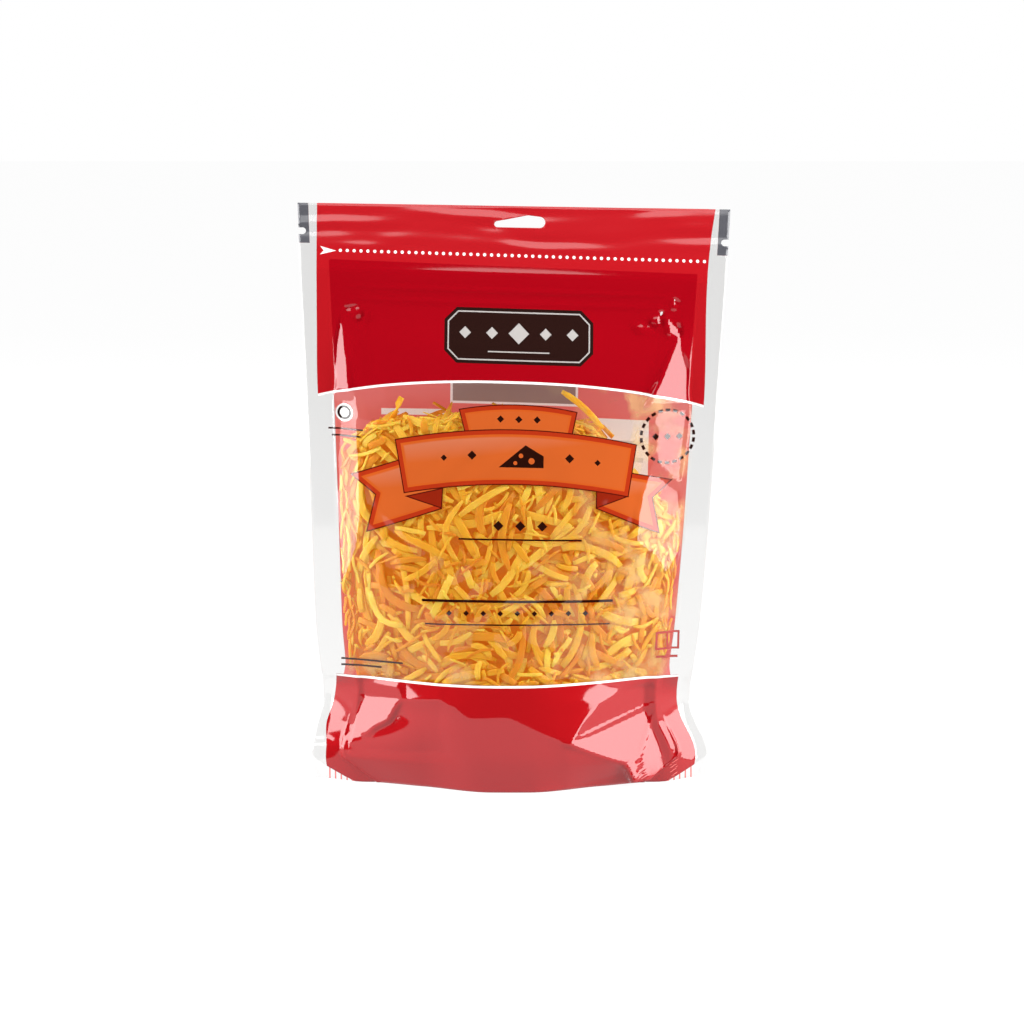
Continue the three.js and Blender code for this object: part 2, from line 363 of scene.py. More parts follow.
print("zip ribs at, mm:", [ridge["at"] for ridge in ZIP_RIDGES])

# %% [markdown]
# ## The break above the foot
# Over the gusset the panel leans forward, and where the gusset ends it breaks back along a crooked line.
# The break is what the eye sees first at the foot: the film mirrors the pale table below it and the dark
# room above it. One line of points and a slope on each side of it are enough.

# %% The break above the foot
BREAK_LINE = [[-66, 37.4], [-43, 37.1], [-27.4, 38.6], [-15.8, 31.4], [0.6, 31.6], [23.5, 21.3], [66, 33]]
BREAK = {"slope": -0.065, "until": 60, "gone": 125}
BREAK_SIDES = {
    "waist": 37, "above": -0.3, "below": 0.3, "below_for": 22,
    "from": 8, "full": 36, "until": 47, "gone": 76,
}


def break_away(x, h):
    """Above a crooked line across the foot the front panel leans back more, so it mirrors the dark room.
    At the sides, where the waist is pinched, it also leans forward more below the line."""
    line = np.interp(x, *np.array(BREAK_LINE).T)
    above = np.maximum(0, np.minimum(h, BREAK["until"]) - line)
    middle = BREAK["slope"] * above * (1 - smoothstep(BREAK["until"], BREAK["gone"], h))
    at_side = smoothstep(BREAK_SIDES["from"], BREAK_SIDES["full"], np.abs(x))
    above = np.maximum(0, np.minimum(h, BREAK_SIDES["until"]) - np.maximum(line, BREAK_SIDES["waist"]))
    above = above * (1 - smoothstep(BREAK_SIDES["until"], BREAK_SIDES["gone"], h))
    below = np.clip(line - h, 0, BREAK_SIDES["below_for"])
    return middle + at_side * (BREAK_SIDES["above"] * above - BREAK_SIDES["below"] * below)


print("height of the break in the middle, mm:", round(float(np.interp(0, *np.array(BREAK_LINE).T)), 1))

# %% [markdown]
# ## Panels with creases and facets
# Film doesn't stretch, so where a panel has to curve two ways it breaks into flat facets with sharp
# creases between them. Most creases of the back are straight ridges and valleys. The facets of the front
# are given as outlines with the slope that each one has: inside its outline the film is a plane.

# %% Panels with creases and facets
HEADER_LOW = 215.6
HALF_DEPTH = [[0, 21.5], [16, 24.5], [38, 24], [70, 22], [110, 18], [150, 13], [180, 8.5], [199, 3],
              [209, 1.8], [HEADER_LOW, 0.9], [221, 0.5], [HEIGHT, 0.5]]
PANEL_FLAT = 2.6  # powers of a panel's section: a flat middle and round shoulders
PANEL_ROUND = 0.85
CAD_HALF_SEAM = 0.5  # half the thickness of the CAD solid's seals
HALF_SEAM = 0.17  # outer face of one film from the seam plane, where the two are sealed
WAIST = {"at": 37, "reach": 13, "pinch": 0.9}
RELIEF_REACH = 8  # a power: the relief stays full until close to the seam
MEETING = 3  # mm of depth over which it comes in
FRONT_FOLDS = [
    {"from": (-66, 40), "to": (-46, 38), "high": -1.0, "wide": 4},
    {"from": (72, 190), "to": (56, 150), "high": 1.8, "wide": 9},
    {"from": (-71, 196), "to": (-62, 150), "high": 1.8, "wide": 9},
]
BACK_FOLDS = [
    {"from": (-65, 38), "to": (-20, 24), "high": 2.0, "wide": 9},
    {"from": (-20, 24), "to": (-55, 6), "high": 1.5, "wide": 7},
    {"from": (66, 40), "to": (36, 33), "high": -1.7, "wide": 7},
    {"from": (36, 33), "to": (70, 16), "high": 2.0, "wide": 8},
    {"from": (-71, 190), "to": (-58, 148), "high": 1.8, "wide": 9},
    {"from": (71, 195), "to": (60, 150), "high": 1.8, "wide": 9},
]
FRONT = {"name": "front_film", "side": -1, "folds": FRONT_FOLDS, "facets": [], "turn": 0.4}
BACK = {"name": "back_film", "side": 1, "folds": BACK_FOLDS, "facets": [], "turn": 2.1}  # turn: of the lumps
FACET_EDGE = 0.7  # mm on each side of a facet's outline over which it meets its neighbours
SEAM_NEAR = 1.5  # facets end this far from the seam


def depth_inside(outline, x, h):
    """Distance of each point inside an outline, negative outside."""
    nearest = np.full(np.shape(x), np.inf)
    inside = np.zeros(np.shape(x), bool)
    for (ax, ah), (bx, bh) in zip(outline, outline[1:] + outline[:1]):
        t = np.clip(((x - ax) * (bx - ax) + (h - ah) * (bh - ah)) / ((bx - ax) ** 2 + (bh - ah) ** 2), 0, 1)
        nearest = np.minimum(nearest, np.hypot(x - ax - t * (bx - ax), h - ah - t * (bh - ah)))
        crosses = (ah > h) != (bh > h)
        inside ^= crosses & (x < ax + (h - ah) * (bx - ax) / (bh - ah if bh != ah else 1))
    return np.where(inside, nearest, -nearest)


def stand_out(side, x, h):
    """How far the outer face of a panel stands from the seam plane."""
    t = np.clip(x / half_panel(h), -1, 1)
    waist = np.exp(-(((h - WAIST["at"]) / WAIST["reach"]) ** 2))
    across = np.maximum(0, 1 - np.abs(t) ** PANEL_FLAT) ** (PANEL_ROUND + WAIST["pinch"] * waist)
    bulge = (along(HALF_DEPTH, h) - CAD_HALF_SEAM) * across
    relief = sum(fold(crease, x, h) for crease in side["folds"]) + lumps(x, h, side["turn"]) + zip_ridges(h)
    if side["side"] < 0:
        relief = relief + break_away(x, h)
    free = (1 - np.abs(t) ** RELIEF_REACH) * smoothstep(0, MEETING, bulge + 2 * zip_ridges(h))
    out = HALF_SEAM + np.maximum(0, bulge + relief * free)
    seam_near = smoothstep(0, SEAM_NEAR, half_panel(h) - np.abs(x))
    for facet in side["facets"]:
        slope_x, slope_h, rest = facet["plane"]
        plane = np.maximum(HALF_SEAM, slope_x * x + slope_h * h + rest)
        covered = smoothstep(-FACET_EDGE, FACET_EDGE, depth_inside(facet["outline"], x, h)) * seam_near
        out = out + covered * (plane - out)
    return out


print("front panel at the waist, mm:", round(float(stand_out(FRONT, np.array(0.0), np.array(38.0))), 2))

# %% [markdown]
# ## The front's facets
# A slope decides what a facet mirrors, so the slopes were chosen by the lamps: the pale facets at the feet
# and shoulders face the tall boxes at the sides. Where two facets meet at a knee, both planes pass through
# that point, so the film stays whole.

# %% The front's facets
def add_facet(side, outline, slopes, anchor=None):
    """Flattens the film inside an outline to a plane with these slopes. It passes through the film's
    relief at an anchor point, or in the middle."""
    if anchor is None:
        anchor = tuple(np.mean(outline, axis=0))
    x, h = np.array(anchor)
    rest = float(stand_out(side, x, h)) - slopes[0] * x - slopes[1] * h
    side["facets"].append({"outline": outline, "plane": (*slopes, rest)})


LEFT_KNEE = (-54, 37)
RIGHT_KNEE = (29, 20.5)
FRONT_FACETS = [
    ([(-69, 38), (-60.5, 36), (-52.6, 37), (-43, 37.5), (-48.5, 27.5), (-54.5, 24), (-58.5, 20.5),
      (-69, 19)], (0.7, -0.26), LEFT_KNEE),
    ([(-69, 44), (-44, 43.3), (-42.5, 37.5), (-52.6, 37), (-60.5, 36), (-69, 38)], (0.68, 0.04), LEFT_KNEE),
    ([(64, 34), (23.5, 20.5), (38, 13.5), (46.5, 9.5), (53, 11)], (-0.63, -0.27), RIGHT_KNEE),
    ([(23.5, 20.5), (64, 34), (66, 37), (60, 42), (49, 41), (38, 36)], (-0.71, -0.02), (44, 26.5)),
    ([(64, 34), (53, 11), (55, 1.5), (70, 1.5), (70, 33)], (-0.78, -0.2), (57.7, 22.8)),
    ([(53, 11), (46.5, 9.5), (50, 1.5), (55, 1.5)], (-0.7, -0.22), (50.5, 11.2)),
    ([(-70.9, 193), (-74, 178), (-73, 161), (-65.7, 161), (-67, 174)], (0.68, -0.07), (-71.5, 176)),
    ([(-73, 161), (-65.7, 161), (-62, 138), (-60.5, 112), (-62.5, 97), (-67, 84), (-71, 78)],
     (0.66, -0.04), None),
    ([(68, 190), (74, 172), (74.5, 160), (53.8, 160), (60, 171)], (-0.56, -0.02), None),
    ([(62, 160), (73, 160), (70, 128), (60, 134), (58, 143)], (-0.56, -0.02), None),
    ([(53, 124), (60, 134), (70, 126), (71, 98), (65, 86), (59, 96), (50, 103)], (-0.53, -0.06), None),
    ([(49, 193.5), (57, 195), (60, 192), (52, 190.5)], (-0.3, -0.62), None),
    ([(57, 195), (61, 199), (63, 195.5), (60, 192)], (-0.7, -0.2), None),
    ([(62, 197), (69, 193), (70, 189), (63.5, 190)], (-0.62, -0.3), None),
    ([(64, 206), (66, 200), (68.5, 203)], (-0.6, -0.4), None),
    ([(-69, 197), (-63, 198), (-63, 194.5), (-67, 195)], (0.4, -0.66), None),
    ([(-64, 191), (-61, 196.5), (-59, 195), (-60.5, 190.5)], (0.64, -0.2), None),
]
for outline, slopes, anchor in FRONT_FACETS:
    add_facet(FRONT, outline, slopes, anchor)
print("facets:", len(FRONT["facets"]))

# %% [markdown]
# ## Standing the bag up
# All films are worked out flat and stood up by one function, so that they stay together. It leans the
# header back, tilts the level lines, sways the whole bag, and adds what sealed film does where nothing
# fills it: the header lies in low waves and the side seals curl back.

# %% Standing the bag up
HEADER_BEND = 212  # above this height the bag leans back
HEADER_SLOPE = 0.27
LEVEL_SLOPE = [[0, 0], [45, 0.002], [165, 0.031], [221, 0.031], [HEIGHT, 0.016]]
SWAY = [[0, -1.4], [11, -1.45], [28, -3.1], [120, -1.45], [HEIGHT, 0]]
CORNER = {"lift": 1.5, "from": 60, "to": 78}  # the lower corners stand off the table
HEADER_RIPPLE = {"high": 0.3, "from": 218.5, "full": 224, "uneven": 0.4, "across": 13, "up": 7}
RIPPLE_WAVES = [  # a wave's share and size, then what bends its crests: how far, size, shift
    (1.0, 1.5, [(1.3, 17, 0), (0.5, 5.3, 0)]),
    (0.6, 0.9, [(2.1, 23, 1)]),
]


def ripple(x, h):
    """The header's two films, sealed together, lie in low waves."""
    inside = smoothstep(HEADER_RIPPLE["from"], HEADER_RIPPLE["full"], h)
    waves = 0
    for share, size, bends in RIPPLE_WAVES:
        crest = h / size
        for far, long, shift in bends:
            crest = crest + far * np.sin(x / long + shift)
        waves = waves + share * np.sin(crest)
    patch = np.sin(x / HEADER_RIPPLE["across"] + h / HEADER_RIPPLE["up"])
    uneven = 1 - HEADER_RIPPLE["uneven"] + HEADER_RIPPLE["uneven"] * patch
    return HEADER_RIPPLE["high"] * inside * waves * uneven


SEAL_CURL = {  # how far each side seal turns back, per millimetre, at each height
    "left": [[0, 0.1], [14, 0.2], [19, 0.5], [40, 0.75], [50, 0.1], [100, 0], [190, 0]],
    "right": [[0, 0.38], [8, 0.45], [36, 0.75], [50, 0.1], [100, 0], [190, 0]],
}
CURL_REACH = [[0, 12], [100, 12], [150, 4], [200, 4]]  # how wide the strip is that turns back
CURL_FROM = [[0, 68], [8, 68], [20, 64], [40, 62], [52, 66], [60, 60]]  # no curl nearer to the middle
CURL_INSIDE = 4  # it starts this far inside the seam


def curl(x, h):
    """The side seals turn back where the film beside them is pulled tight."""
    start = np.maximum(half_panel(h) - CURL_INSIDE, along(CURL_FROM, h))
    beyond = np.clip(np.abs(x) - start, 0, along(CURL_REACH, h))
    return beyond * np.where(x < 0, along(SEAL_CURL["left"], h), along(SEAL_CURL["right"], h))


def place(x, h, y):
    """Stands a point of the flattened bag up: across, back and up, in millimetres."""
    low = np.maximum(0, 1 - h / GUSSET_TOP)
    lift = CORNER["lift"] * smoothstep(CORNER["from"], CORNER["to"], np.abs(x)) * low
    back = HEADER_SLOPE * np.maximum(0, h - HEADER_BEND) + y + ripple(x, h) + curl(x, h)
    return np.stack([x + along(SWAY, h), back, h + lift - along(LEVEL_SLOPE, h) * x], axis=-1)


print("top of the bag, mm:", place(np.array(0.0), np.array(float(HEIGHT)), 0.0).round(1).tolist())

# %% [markdown]
# ## Pieces
# Every finished mesh goes into the frame the same way: from millimetres to metres, smooth shaded, riding
# on the one body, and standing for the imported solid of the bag. A film gets its wall from a Solidify
# modifier, because one sheet is easier to shape than two faces that have to stay parallel.

# %% Pieces
def to_piece(name, bm, materials):
    """Makes a piece of the bag from a bmesh in millimetres."""
    bmesh.ops.scale(bm, vec=Vector((MM, MM, MM)), verts=bm.verts)
    mesh = bpy.data.meshes.new(name)
    bm.to_mesh(mesh)
    bm.free()
    mesh.polygons.foreach_set("use_smooth", [True] * len(mesh.polygons))
    for material in materials:
        mesh.materials.append(material)
    made = bpy.data.objects.new(name, mesh)
    bpy.context.scene.collection.objects.link(made)
    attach(made, "root")
    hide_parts("pouch")
    print(name, len(mesh.vertices), "points")
    return made


def thicken(made, thickness, inner_material=0):
    """Gives a sheet its real thickness, on its inner side."""
    wall = made.modifiers.new("wall", "SOLIDIFY")
    wall.thickness = thickness * MM
    wall.offset = -1
    wall.material_offset = inner_material


print("pieces ride on root and stand for pouch")

# %% [markdown]
# ## Inks
# The colours were picked on a screen. The lamps light the bag more than would make white paper
# white, as they did for the photographed one, so a print ink is that much darker than it looks.

# %% Inks
STUDIO_LIGHT = 1.7  # the boxes light the bag this much more than what turns white paper into 255


def print_ink(red, green, blue):
    """A print colour that shows as this in the studio's light."""
    return (*[c / STUDIO_LIGHT for c in srgb(red, green, blue)[:3]], 1)


RED = print_ink(192, 5, 25)
# painted light: the foot's red is lighter, for the light that the table throws up on it
FOOT_RED_PAINTED_LIGHT = print_ink(206, 22, 30)
# painted light: the sealed strips' red is lighter, for light sent back by the second film and the flat seal
SEALED_RED_PAINTED_LIGHT = print_ink(216, 28, 38)
WHITE = (0.9, 0.9, 0.89, 1)
INK = print_ink(48, 16, 8)
GREY = print_ink(105, 105, 112)
SILVER = print_ink(222, 216, 212)
PLATE_BROWN = print_ink(50, 26, 22)
print("red ink:", [round(share, 3) for share in RED[:3]])

# %% [markdown]
# ## Drawing with distances
# An image could carry the print, but drawn shapes stay sharp at any size. Each shape is a distance on the
# flattened film, above zero inside the shape and below zero outside. The smaller of two distances keeps
# what both shapes cover, the larger joins them, and the ink method turns the result into a mask.

# %% Drawing with distances
def film_coordinates(wire):
    """On the flattened film: x, h, and the distances inside the print's side edge, inside the film's
    edge and inside the sealed strips."""
    flat = wire.node("ShaderNodeAttribute", {"attribute_name": "flat"}, output=1)
    seam = wire.node("ShaderNodeAttribute", {"attribute_name": "seam"}, output=1)
    parts = [wire.node("ShaderNodeSeparateXYZ", inputs={0: flat}, output=i) for i in range(3)]
    return (*parts, *[wire.node("ShaderNodeSeparateXYZ", inputs={0: seam}, output=i) for i in range(2)])


def beside(x, h, start, end):
    """Distance to the left of the line from start to end."""
    long = math.hypot(end[0] - start[0], end[1] - start[1])
    nx, nh = (start[1] - end[1]) / long, (end[0] - start[0]) / long
    return x.times_plus(nx, h.times_plus(nh, -(start[0] * nx + start[1] * nh)))


def within(x, h, outline):
    """Distance inside a convex outline that is given anticlockwise."""
    sides = [beside(x, h, start, end) for start, end in zip(outline, outline[1:] + outline[:1])]
    nearest = sides[0]
    for other in sides[1:]:
        nearest = nearest.least(other)
    return nearest


def bar(x, h, left, right, low, high):
    """Distance inside a level bar."""
    across = (right - left) / 2 - abs(x - (left + right) / 2)
    return across.least((high - low) / 2 - abs(h - (low + high) / 2))


def from_point(x, h, middle):
    """Distance from a point."""
    dx = x - middle[0]
    return (dx * dx + (h - middle[1]) ** 2) ** 0.5


def diamonds(x, h, middle_x, middle_h, apart, count, half):
    """Distance inside a row of small diamonds."""
    across = x.math("PINGPONG", x - middle_x, apart / 2)
    spots = (half - across - abs(h - middle_h)) * math.sqrt(0.5)
    return spots.least(count * apart / 2 - abs(x - middle_x))


print("blur of a printed edge, mm:", PRINT_BLUR)

# %% [markdown]
# ## Red fields
# Red fields cover the film above and below the clear window. The window's top line sags towards the sides
# and its bottom line is nearly straight, so one is a power curve and the other a flat parabola.

# %% Red fields
TOP_LINE = {"middle": 168.4, "drop": 8.4, "at": 79, "power": 2.4}
LOW_LINE = {"middle": 45.0, "rise": 0.4, "at": 72}
WHITE_LINE = 1.0
MID_HEIGHT = 100  # mm, below this the foot's red is painted lighter, for the light that the table throws up


def field_distances(x, h):
    """Distance above the window's top line, and below its bottom line."""
    drop = (abs(x) / TOP_LINE["at"]) ** TOP_LINE["power"] * TOP_LINE["drop"]
    rise = (x / LOW_LINE["at"]) ** 2 * LOW_LINE["rise"]
    return h + drop - TOP_LINE["middle"], rise + LOW_LINE["middle"] - h


print("window, mm:", LOW_LINE["middle"], "to", TOP_LINE["middle"])

# %% [markdown]
# ## Ribbon banner
# An orange ribbon is printed across the window: two swallow-tailed ends, the dark folds where they turn
# back, a small cap, and an arched plate over all of them. Each part is bounded by a few lines and arcs and
# painted over the one before, as layers of print are.

# %% Ribbon banner
BANNER_BORDERS = [  # how far in from a part's edge each colour starts
    (0.0, print_ink(96, 22, 10)), (0.45, print_ink(208, 60, 24)),
    (2.1, print_ink(238, 106, 38)), (2.9, print_ink(236, 110, 46)),
]
BANNER_SHEEN = print_ink(240, 165, 140)
BANNER_FOLD = print_ink(170, 42, 16)
SHEEN = {"up": 0.045, "across": 0.006, "inset": 0.4, "blur": 0.6}
PLATE_ARCH = {"middle": 3.0, "top": 150.0, "low": 127.4, "curve": 0.00225}
PLATE_SIDES = [((-47.9, 144.6), (-43.7, 121.8)), ((48.6, 123.6), (51.8, 145.8))]
PLATE_SHEEN = (-46, 134)
CAP_ARCH = {"top": 160.1, "curve": 0.0042}
CAP_SIDES = [((-21.6, 157.3), (-19.5, 149.2)), ((25.3, 149.2), (27.1, 158.1))]
LEFT_TAIL = {
    "band": [((-46.5, 135.9), (-66.1, 128.9)), ((-59.3, 105.7), (-27.8, 116.9))],
    "end": [(-66.1, 128.9), (-55.7, 121.2), (-59.3, 105.7)], "join": -28.0, "sheen": (-66, 122),
}
RIGHT_TAIL = {
    "band": [((66.9, 129.9), (50.5, 132.9)), ((35.1, 118.1), (61.9, 107.1))],
    "end": [(61.9, 107.1), (58.6, 122.3), (66.9, 129.9)], "join": 35.0, "sheen": (40, 122),
}
LEFT_FOLD = [(-43.5, 121.4), (-28.0, 116.9), (-27.6, 125.5)]
RIGHT_FOLD = [(35.0, 126.0), (35.1, 118.1), (48.8, 123.2)]


def bordered(colour, distance):
    """Paints a banner part on a colour: an outline, two borders and the face."""
    for inset, border in BANNER_BORDERS:
        colour = colour.painted(border, (distance - inset).ink())
    return colour


def sheened(colour, x, h, distance, left, low):
    """The light patch that fades in towards the upper left of a banner part's face."""
    fade = ((h - low) * SHEEN["up"] - (x - left) * SHEEN["across"]).clamped()
    face = distance - BANNER_BORDERS[-1][0] - SHEEN["inset"]
    return colour.painted(BANNER_SHEEN, fade * face.ink(SHEEN["blur"]))


def tail(x, h, shape):
    """Distance inside a swallow-tailed ribbon end."""
    upper, lower = shape["band"]
    band = beside(x, h, *upper).least(beside(x, h, *lower))
    first, notch, last = shape["end"]
    end = beside(x, h, first, notch).most(beside(x, h, notch, last))
    join = (shape["join"] - x) if shape["join"] < 0 else (x - shape["join"])
    return band.least(end).least(join)


def banner(colour, x, h):
    """The ribbon banner: tails, folds, cap and arched plate, each over the one before."""
    cover = None
    for shape in (LEFT_TAIL, RIGHT_TAIL):
        distance = tail(x, h, shape)
        colour = bordered(colour, distance)
        colour = sheened(colour, x, h, distance, *shape["sheen"])
        cover = distance if cover is None else cover.most(distance)
    for outline in (LEFT_FOLD, RIGHT_FOLD):
        distance = within(x, h, outline)
        colour = colour.painted(BANNER_BORDERS[0][1], distance.ink())
        colour = colour.painted(BANNER_FOLD, (distance - BANNER_BORDERS[1][0]).ink())
        cover = cover.most(distance)
    bow = (x - PLATE_ARCH["middle"]) ** 2
    cap_top = CAP_ARCH["top"] - bow * CAP_ARCH["curve"] - h
    cap = cap_top.least(h - PLATE_ARCH["low"])
    for start, end in CAP_SIDES:
        cap = cap.least(beside(x, h, start, end))
    colour = bordered(colour, cap)
    arch = bow * PLATE_ARCH["curve"]
    plate = (PLATE_ARCH["top"] - arch - h).least(h + arch - PLATE_ARCH["low"])
    for start, end in PLATE_SIDES:
        plate = plate.least(beside(x, h, start, end))
    colour = bordered(colour, plate)
    colour = sheened(colour, x, h, plate, *PLATE_SHEEN)
    return colour, cover.most(cap).most(plate)


print("borders of the ribbon, mm:", [inset for inset, _ in BANNER_BORDERS])

# %% [markdown]
# ## Marks on the window
# Thin rules, rows of diamonds and a few plain marks are printed on the clear film, and a wedge of cheese
# on the banner. Rows of equal shapes come from one shape and a Ping-Pong node, which folds x back and
# forth, so a long row costs only a few nodes more than one diamond.

# %% Marks on the window
INK_BARS = [  # left, right, low, high
    (-21, 29.5, 104.6, 105.3), (-35.5, 43, 79.0, 80.1), (-34, 42, 69.6, 70.2), (-69, -43, 52.0, 52.8),
    (-69, -52, 49.4, 50.2), (-75.5, -61, 146.6, 147.3), (-74, -62, 143.8, 144.5),
]
DIAMOND_ROWS = [  # middle x and h, spacing, how many, half height
    (4.2, 110.6, 9.0, 3, 2.1), (3.8, 74.6, 7.0, 9, 1.2), (3.0, 154.0, 7.5, 3, 1.5),
    (-16.0, 139.0, 60, 1, 1.9), (24.0, 138.6, 60, 1, 1.9), (-27.5, 137.6, 60, 1, 1.3),
    (35.5, 137.0, 60, 1, 1.3), (64.3, 148.0, 5.0, 3, 1.5),
]
BANNER_WEDGE = {"middle": (3.6, 138.6), "size": 1.15}
DISC = {"middle": (-68.9, 153.6), "radius": 3.7, "ring": 2.4, "line": 1.0}
DASHED_RING = {"middle": (64.3, 148.0), "radius": 11.0, "wide": 1.2, "dashes": 22, "gap": 0.38}
SMALL_FRAME = {"left": 61.4, "right": 71.6, "low": 56.8, "high": 64.8, "line": 0.9}
SMALL_FRAME_BAR = (62.0, 71.0, 53.2, 54.2)
SMALL_FRAME_RED = print_ink(205, 70, 66)
WEDGE = [(-7.5, -3.6), (8.5, -3.6), (8.5, 0.6), (2.0, 4.4)]
WEDGE_HOLES = [((4.2, -1.2), 1.1), ((0.4, 0.6), 0.8), ((-1.6, -2.0), 0.7)]


def wedge_of_cheese(x, h, middle, size):
    """Distance inside a plain wedge with three holes."""
    px, ph = (x - middle[0]) / size, (h - middle[1]) / size
    wedge = within(px, ph, WEDGE)
    for hole, radius in WEDGE_HOLES:
        wedge = wedge.least(from_point(px, ph, hole) - radius)
    return wedge


def window_print(colour, x, h):
    """The banner, rules, diamonds, a disc, a dashed ring and a small frame on the clear window."""
    colour, cover = banner(colour, x, h)
    marks = wedge_of_cheese(x, h, **BANNER_WEDGE)
    for place_of_bar in INK_BARS:
        marks = marks.most(bar(x, h, *place_of_bar))
    for row in DIAMOND_ROWS:
        marks = marks.most(diamonds(x, h, *row))
    from_ring = from_point(x, h, DASHED_RING["middle"])
    turn = x.math("ARCTAN2", h - DASHED_RING["middle"][1], x - DASHED_RING["middle"][0])
    dashes = x.math("PINGPONG", turn * (DASHED_RING["dashes"] / math.pi), 1.0) - DASHED_RING["gap"]
    marks = marks.most((DASHED_RING["wide"] / 2 - abs(from_ring - DASHED_RING["radius"])).least(dashes))
    from_disc = from_point(x, h, DISC["middle"])
    disc = DISC["radius"] - from_disc
    colour = colour.painted(WHITE, disc.ink())
    marks = marks.most(DISC["line"] / 2 - abs(from_disc - DISC["ring"]))
    colour = colour.painted(INK, marks.ink())
    left, right, low, high, line = SMALL_FRAME.values()
    outer = bar(x, h, left, right, low, high)
    hollow = (outer - line).least(abs(x - (left + right) / 2) - line / 2)
    small_frame = outer.least(0 - hollow).most(bar(x, h, *SMALL_FRAME_BAR))
    colour = colour.painted(SMALL_FRAME_RED, small_frame.ink())
    return colour, cover.most(marks).most(disc).most(small_frame)


print("rules:", len(INK_BARS), "rows of diamonds:", len(DIAMOND_ROWS))

# %% [markdown]
# ## Header
# On the red above the window is a dark plate with cut corners and a silver line round it. Below the hang
# slot a line of white dots shows where the bag tears, with a dart at its start.

# %% Header
PLATE = {"middle": (2.6, 187.4), "half": (30.5, 11.2), "chamfer": 5.0}
PLATE_LINE = {"inset": 1.6, "wide": 0.55}
PLATE_DIAMONDS = [(2.6, 188.6, 11.0, 5, 2.4), (2.6, 188.6, 60, 1, 4.2)]
PLATE_RULE = (-10.0, 15.2, 180.9, 181.4)


def header_print(colour, x, h):
    """On the red: an eight-sided dark plate with a silver line round it, a row of diamonds and a rule."""
    ax, ah = abs(x - PLATE["middle"][0]), abs(h - PLATE["middle"][1])
    half_x, half_h = PLATE["half"]
    corner = (half_x + half_h - PLATE["chamfer"] - ax - ah) * math.sqrt(0.5)
    plate = (half_x - ax).least(half_h - ah).least(corner)
    colour = colour.painted(PLATE_BROWN, plate.ink())
    silver = (PLATE_LINE["wide"] / 2 - abs(plate - PLATE_LINE["inset"])).most(bar(x, h, *PLATE_RULE))
    for row in PLATE_DIAMONDS:
        silver = silver.most(diamonds(x, h, *row))
    return colour.painted(SILVER, silver.ink())


DOTS = {"first": -71.0, "last": 78.8, "at": 220.0, "apart": 2.82, "radius": 0.64, "beyond": 1}
DART = {"tip": -72.8, "tail": -79.4, "at": 219.8, "half": 1.7, "notch": 1.6, "notch_slope": 0.9}
CORNER_MARK = {"low": 222.6, "wide": 4.4}


def tear_print(colour, x, h):
    """The line of dots below the hang slot and the dart that points along it."""
    spot = x.math("PINGPONG", x - DOTS["first"], DOTS["apart"] / 2)
    dots = DOTS["radius"] - (spot * spot + (h - DOTS["at"]) ** 2) ** 0.5
    dots = dots.least(x - DOTS["first"] + DOTS["beyond"]).least(DOTS["last"] - x + DOTS["beyond"])
    off = abs(h - DART["at"])
    long = DART["tip"] - DART["tail"]
    flanks = (DART["tip"] - x) * (DART["half"] / long) - off
    notch = x + off * DART["notch_slope"] - DART["tail"] - DART["notch"]
    return colour.painted(WHITE, dots.most(flanks.least(notch)).ink())


print("dots:", round((DOTS["last"] - DOTS["first"]) / DOTS["apart"]) + 1)

# %% [markdown]
# ## Film finishes
# Clear film is nearly nothing to light that goes through it, and a mirror to light that grazes it. So it
# is a mix of a transparent and a glossy shader, and the mix depends on how flat the light meets the film.
# A glass shader would also bend the light, which a thin film doesn't. Print is an opaque glossy paint on
# the same film, and a mask chooses between the two.

# %% Film finishes
FILM_IOR = 1.6
HEAD_ON_MIRROR = 0.02  # what each face of bare film mirrors head on, less than print: two faces add up
CLEAR_TINT = (0.956, 0.955, 0.953, 1)
CLEAR_GLOSS = 0.045
PRINT_GLOSS = 0.06


def clear_film(wire):
    """The shader of bare film: the flatter the light meets it, the more it mirrors."""
    through = wire.node("ShaderNodeBsdfTransparent", inputs={"Color": CLEAR_TINT})
    shine = wire.node("ShaderNodeBsdfGlossy", inputs={"Color": (1, 1, 1, 1), "Roughness": CLEAR_GLOSS})
    grazing = wire.node("ShaderNodeLayerWeight", inputs={"Blend": 0.5}, output=1)
    share = grazing**5 * (1 - HEAD_ON_MIRROR) + HEAD_ON_MIRROR
    return wire.node("ShaderNodeMixShader", inputs={0: share, 1: through, 2: shine})


def printed(wire, colour, gloss=PRINT_GLOSS):
    """The shader of printed film."""
    return wire.node("ShaderNodeBsdfPrincipled", inputs={
        "Base Color": colour, "Roughness": gloss, "IOR": FILM_IOR})


def film_finish(wire, mask, paint, bare=None):
    """Paint where the mask is 1, bare film elsewhere."""
    bare = bare or clear_film(wire)
    finish_material(wire, wire.node("ShaderNodeMixShader", inputs={0: mask, 1: bare, 2: paint}))


def constant(wire, colour):
    """A colour that other colours are painted over."""
    return wire.node("ShaderNodeMix", {"data_type": "RGBA"}, {0: 0.0, 6: colour, 7: colour}, output=2)


print("gloss of film and print:", CLEAR_GLOSS, PRINT_GLOSS)

# %% [markdown]
# ## Front film
# Outside, the front film carries all of the print above. Where two films are sealed together, and on the
# foot, the red is painted lighter: on the seals for the light that the second red layer behind the print
# sends back and that the flat seal mirrors, on the foot for the light that the table throws up. The
# distance inside the seals tells where the seals are. Inside, the back of the print is pink, and fat from
# the cheese makes the clear film milky in patches, mostly on the right and at the window's foot. A noise
# texture draws them, because no two bags have the same ones.

# %% Front film
HEADER_SOFT = {"over": 6, "more": 0.1}  # above the dots the film is a little rougher
SEALED_BLUR = 0.3  # mm over which the sealed film's painted lighter red comes in
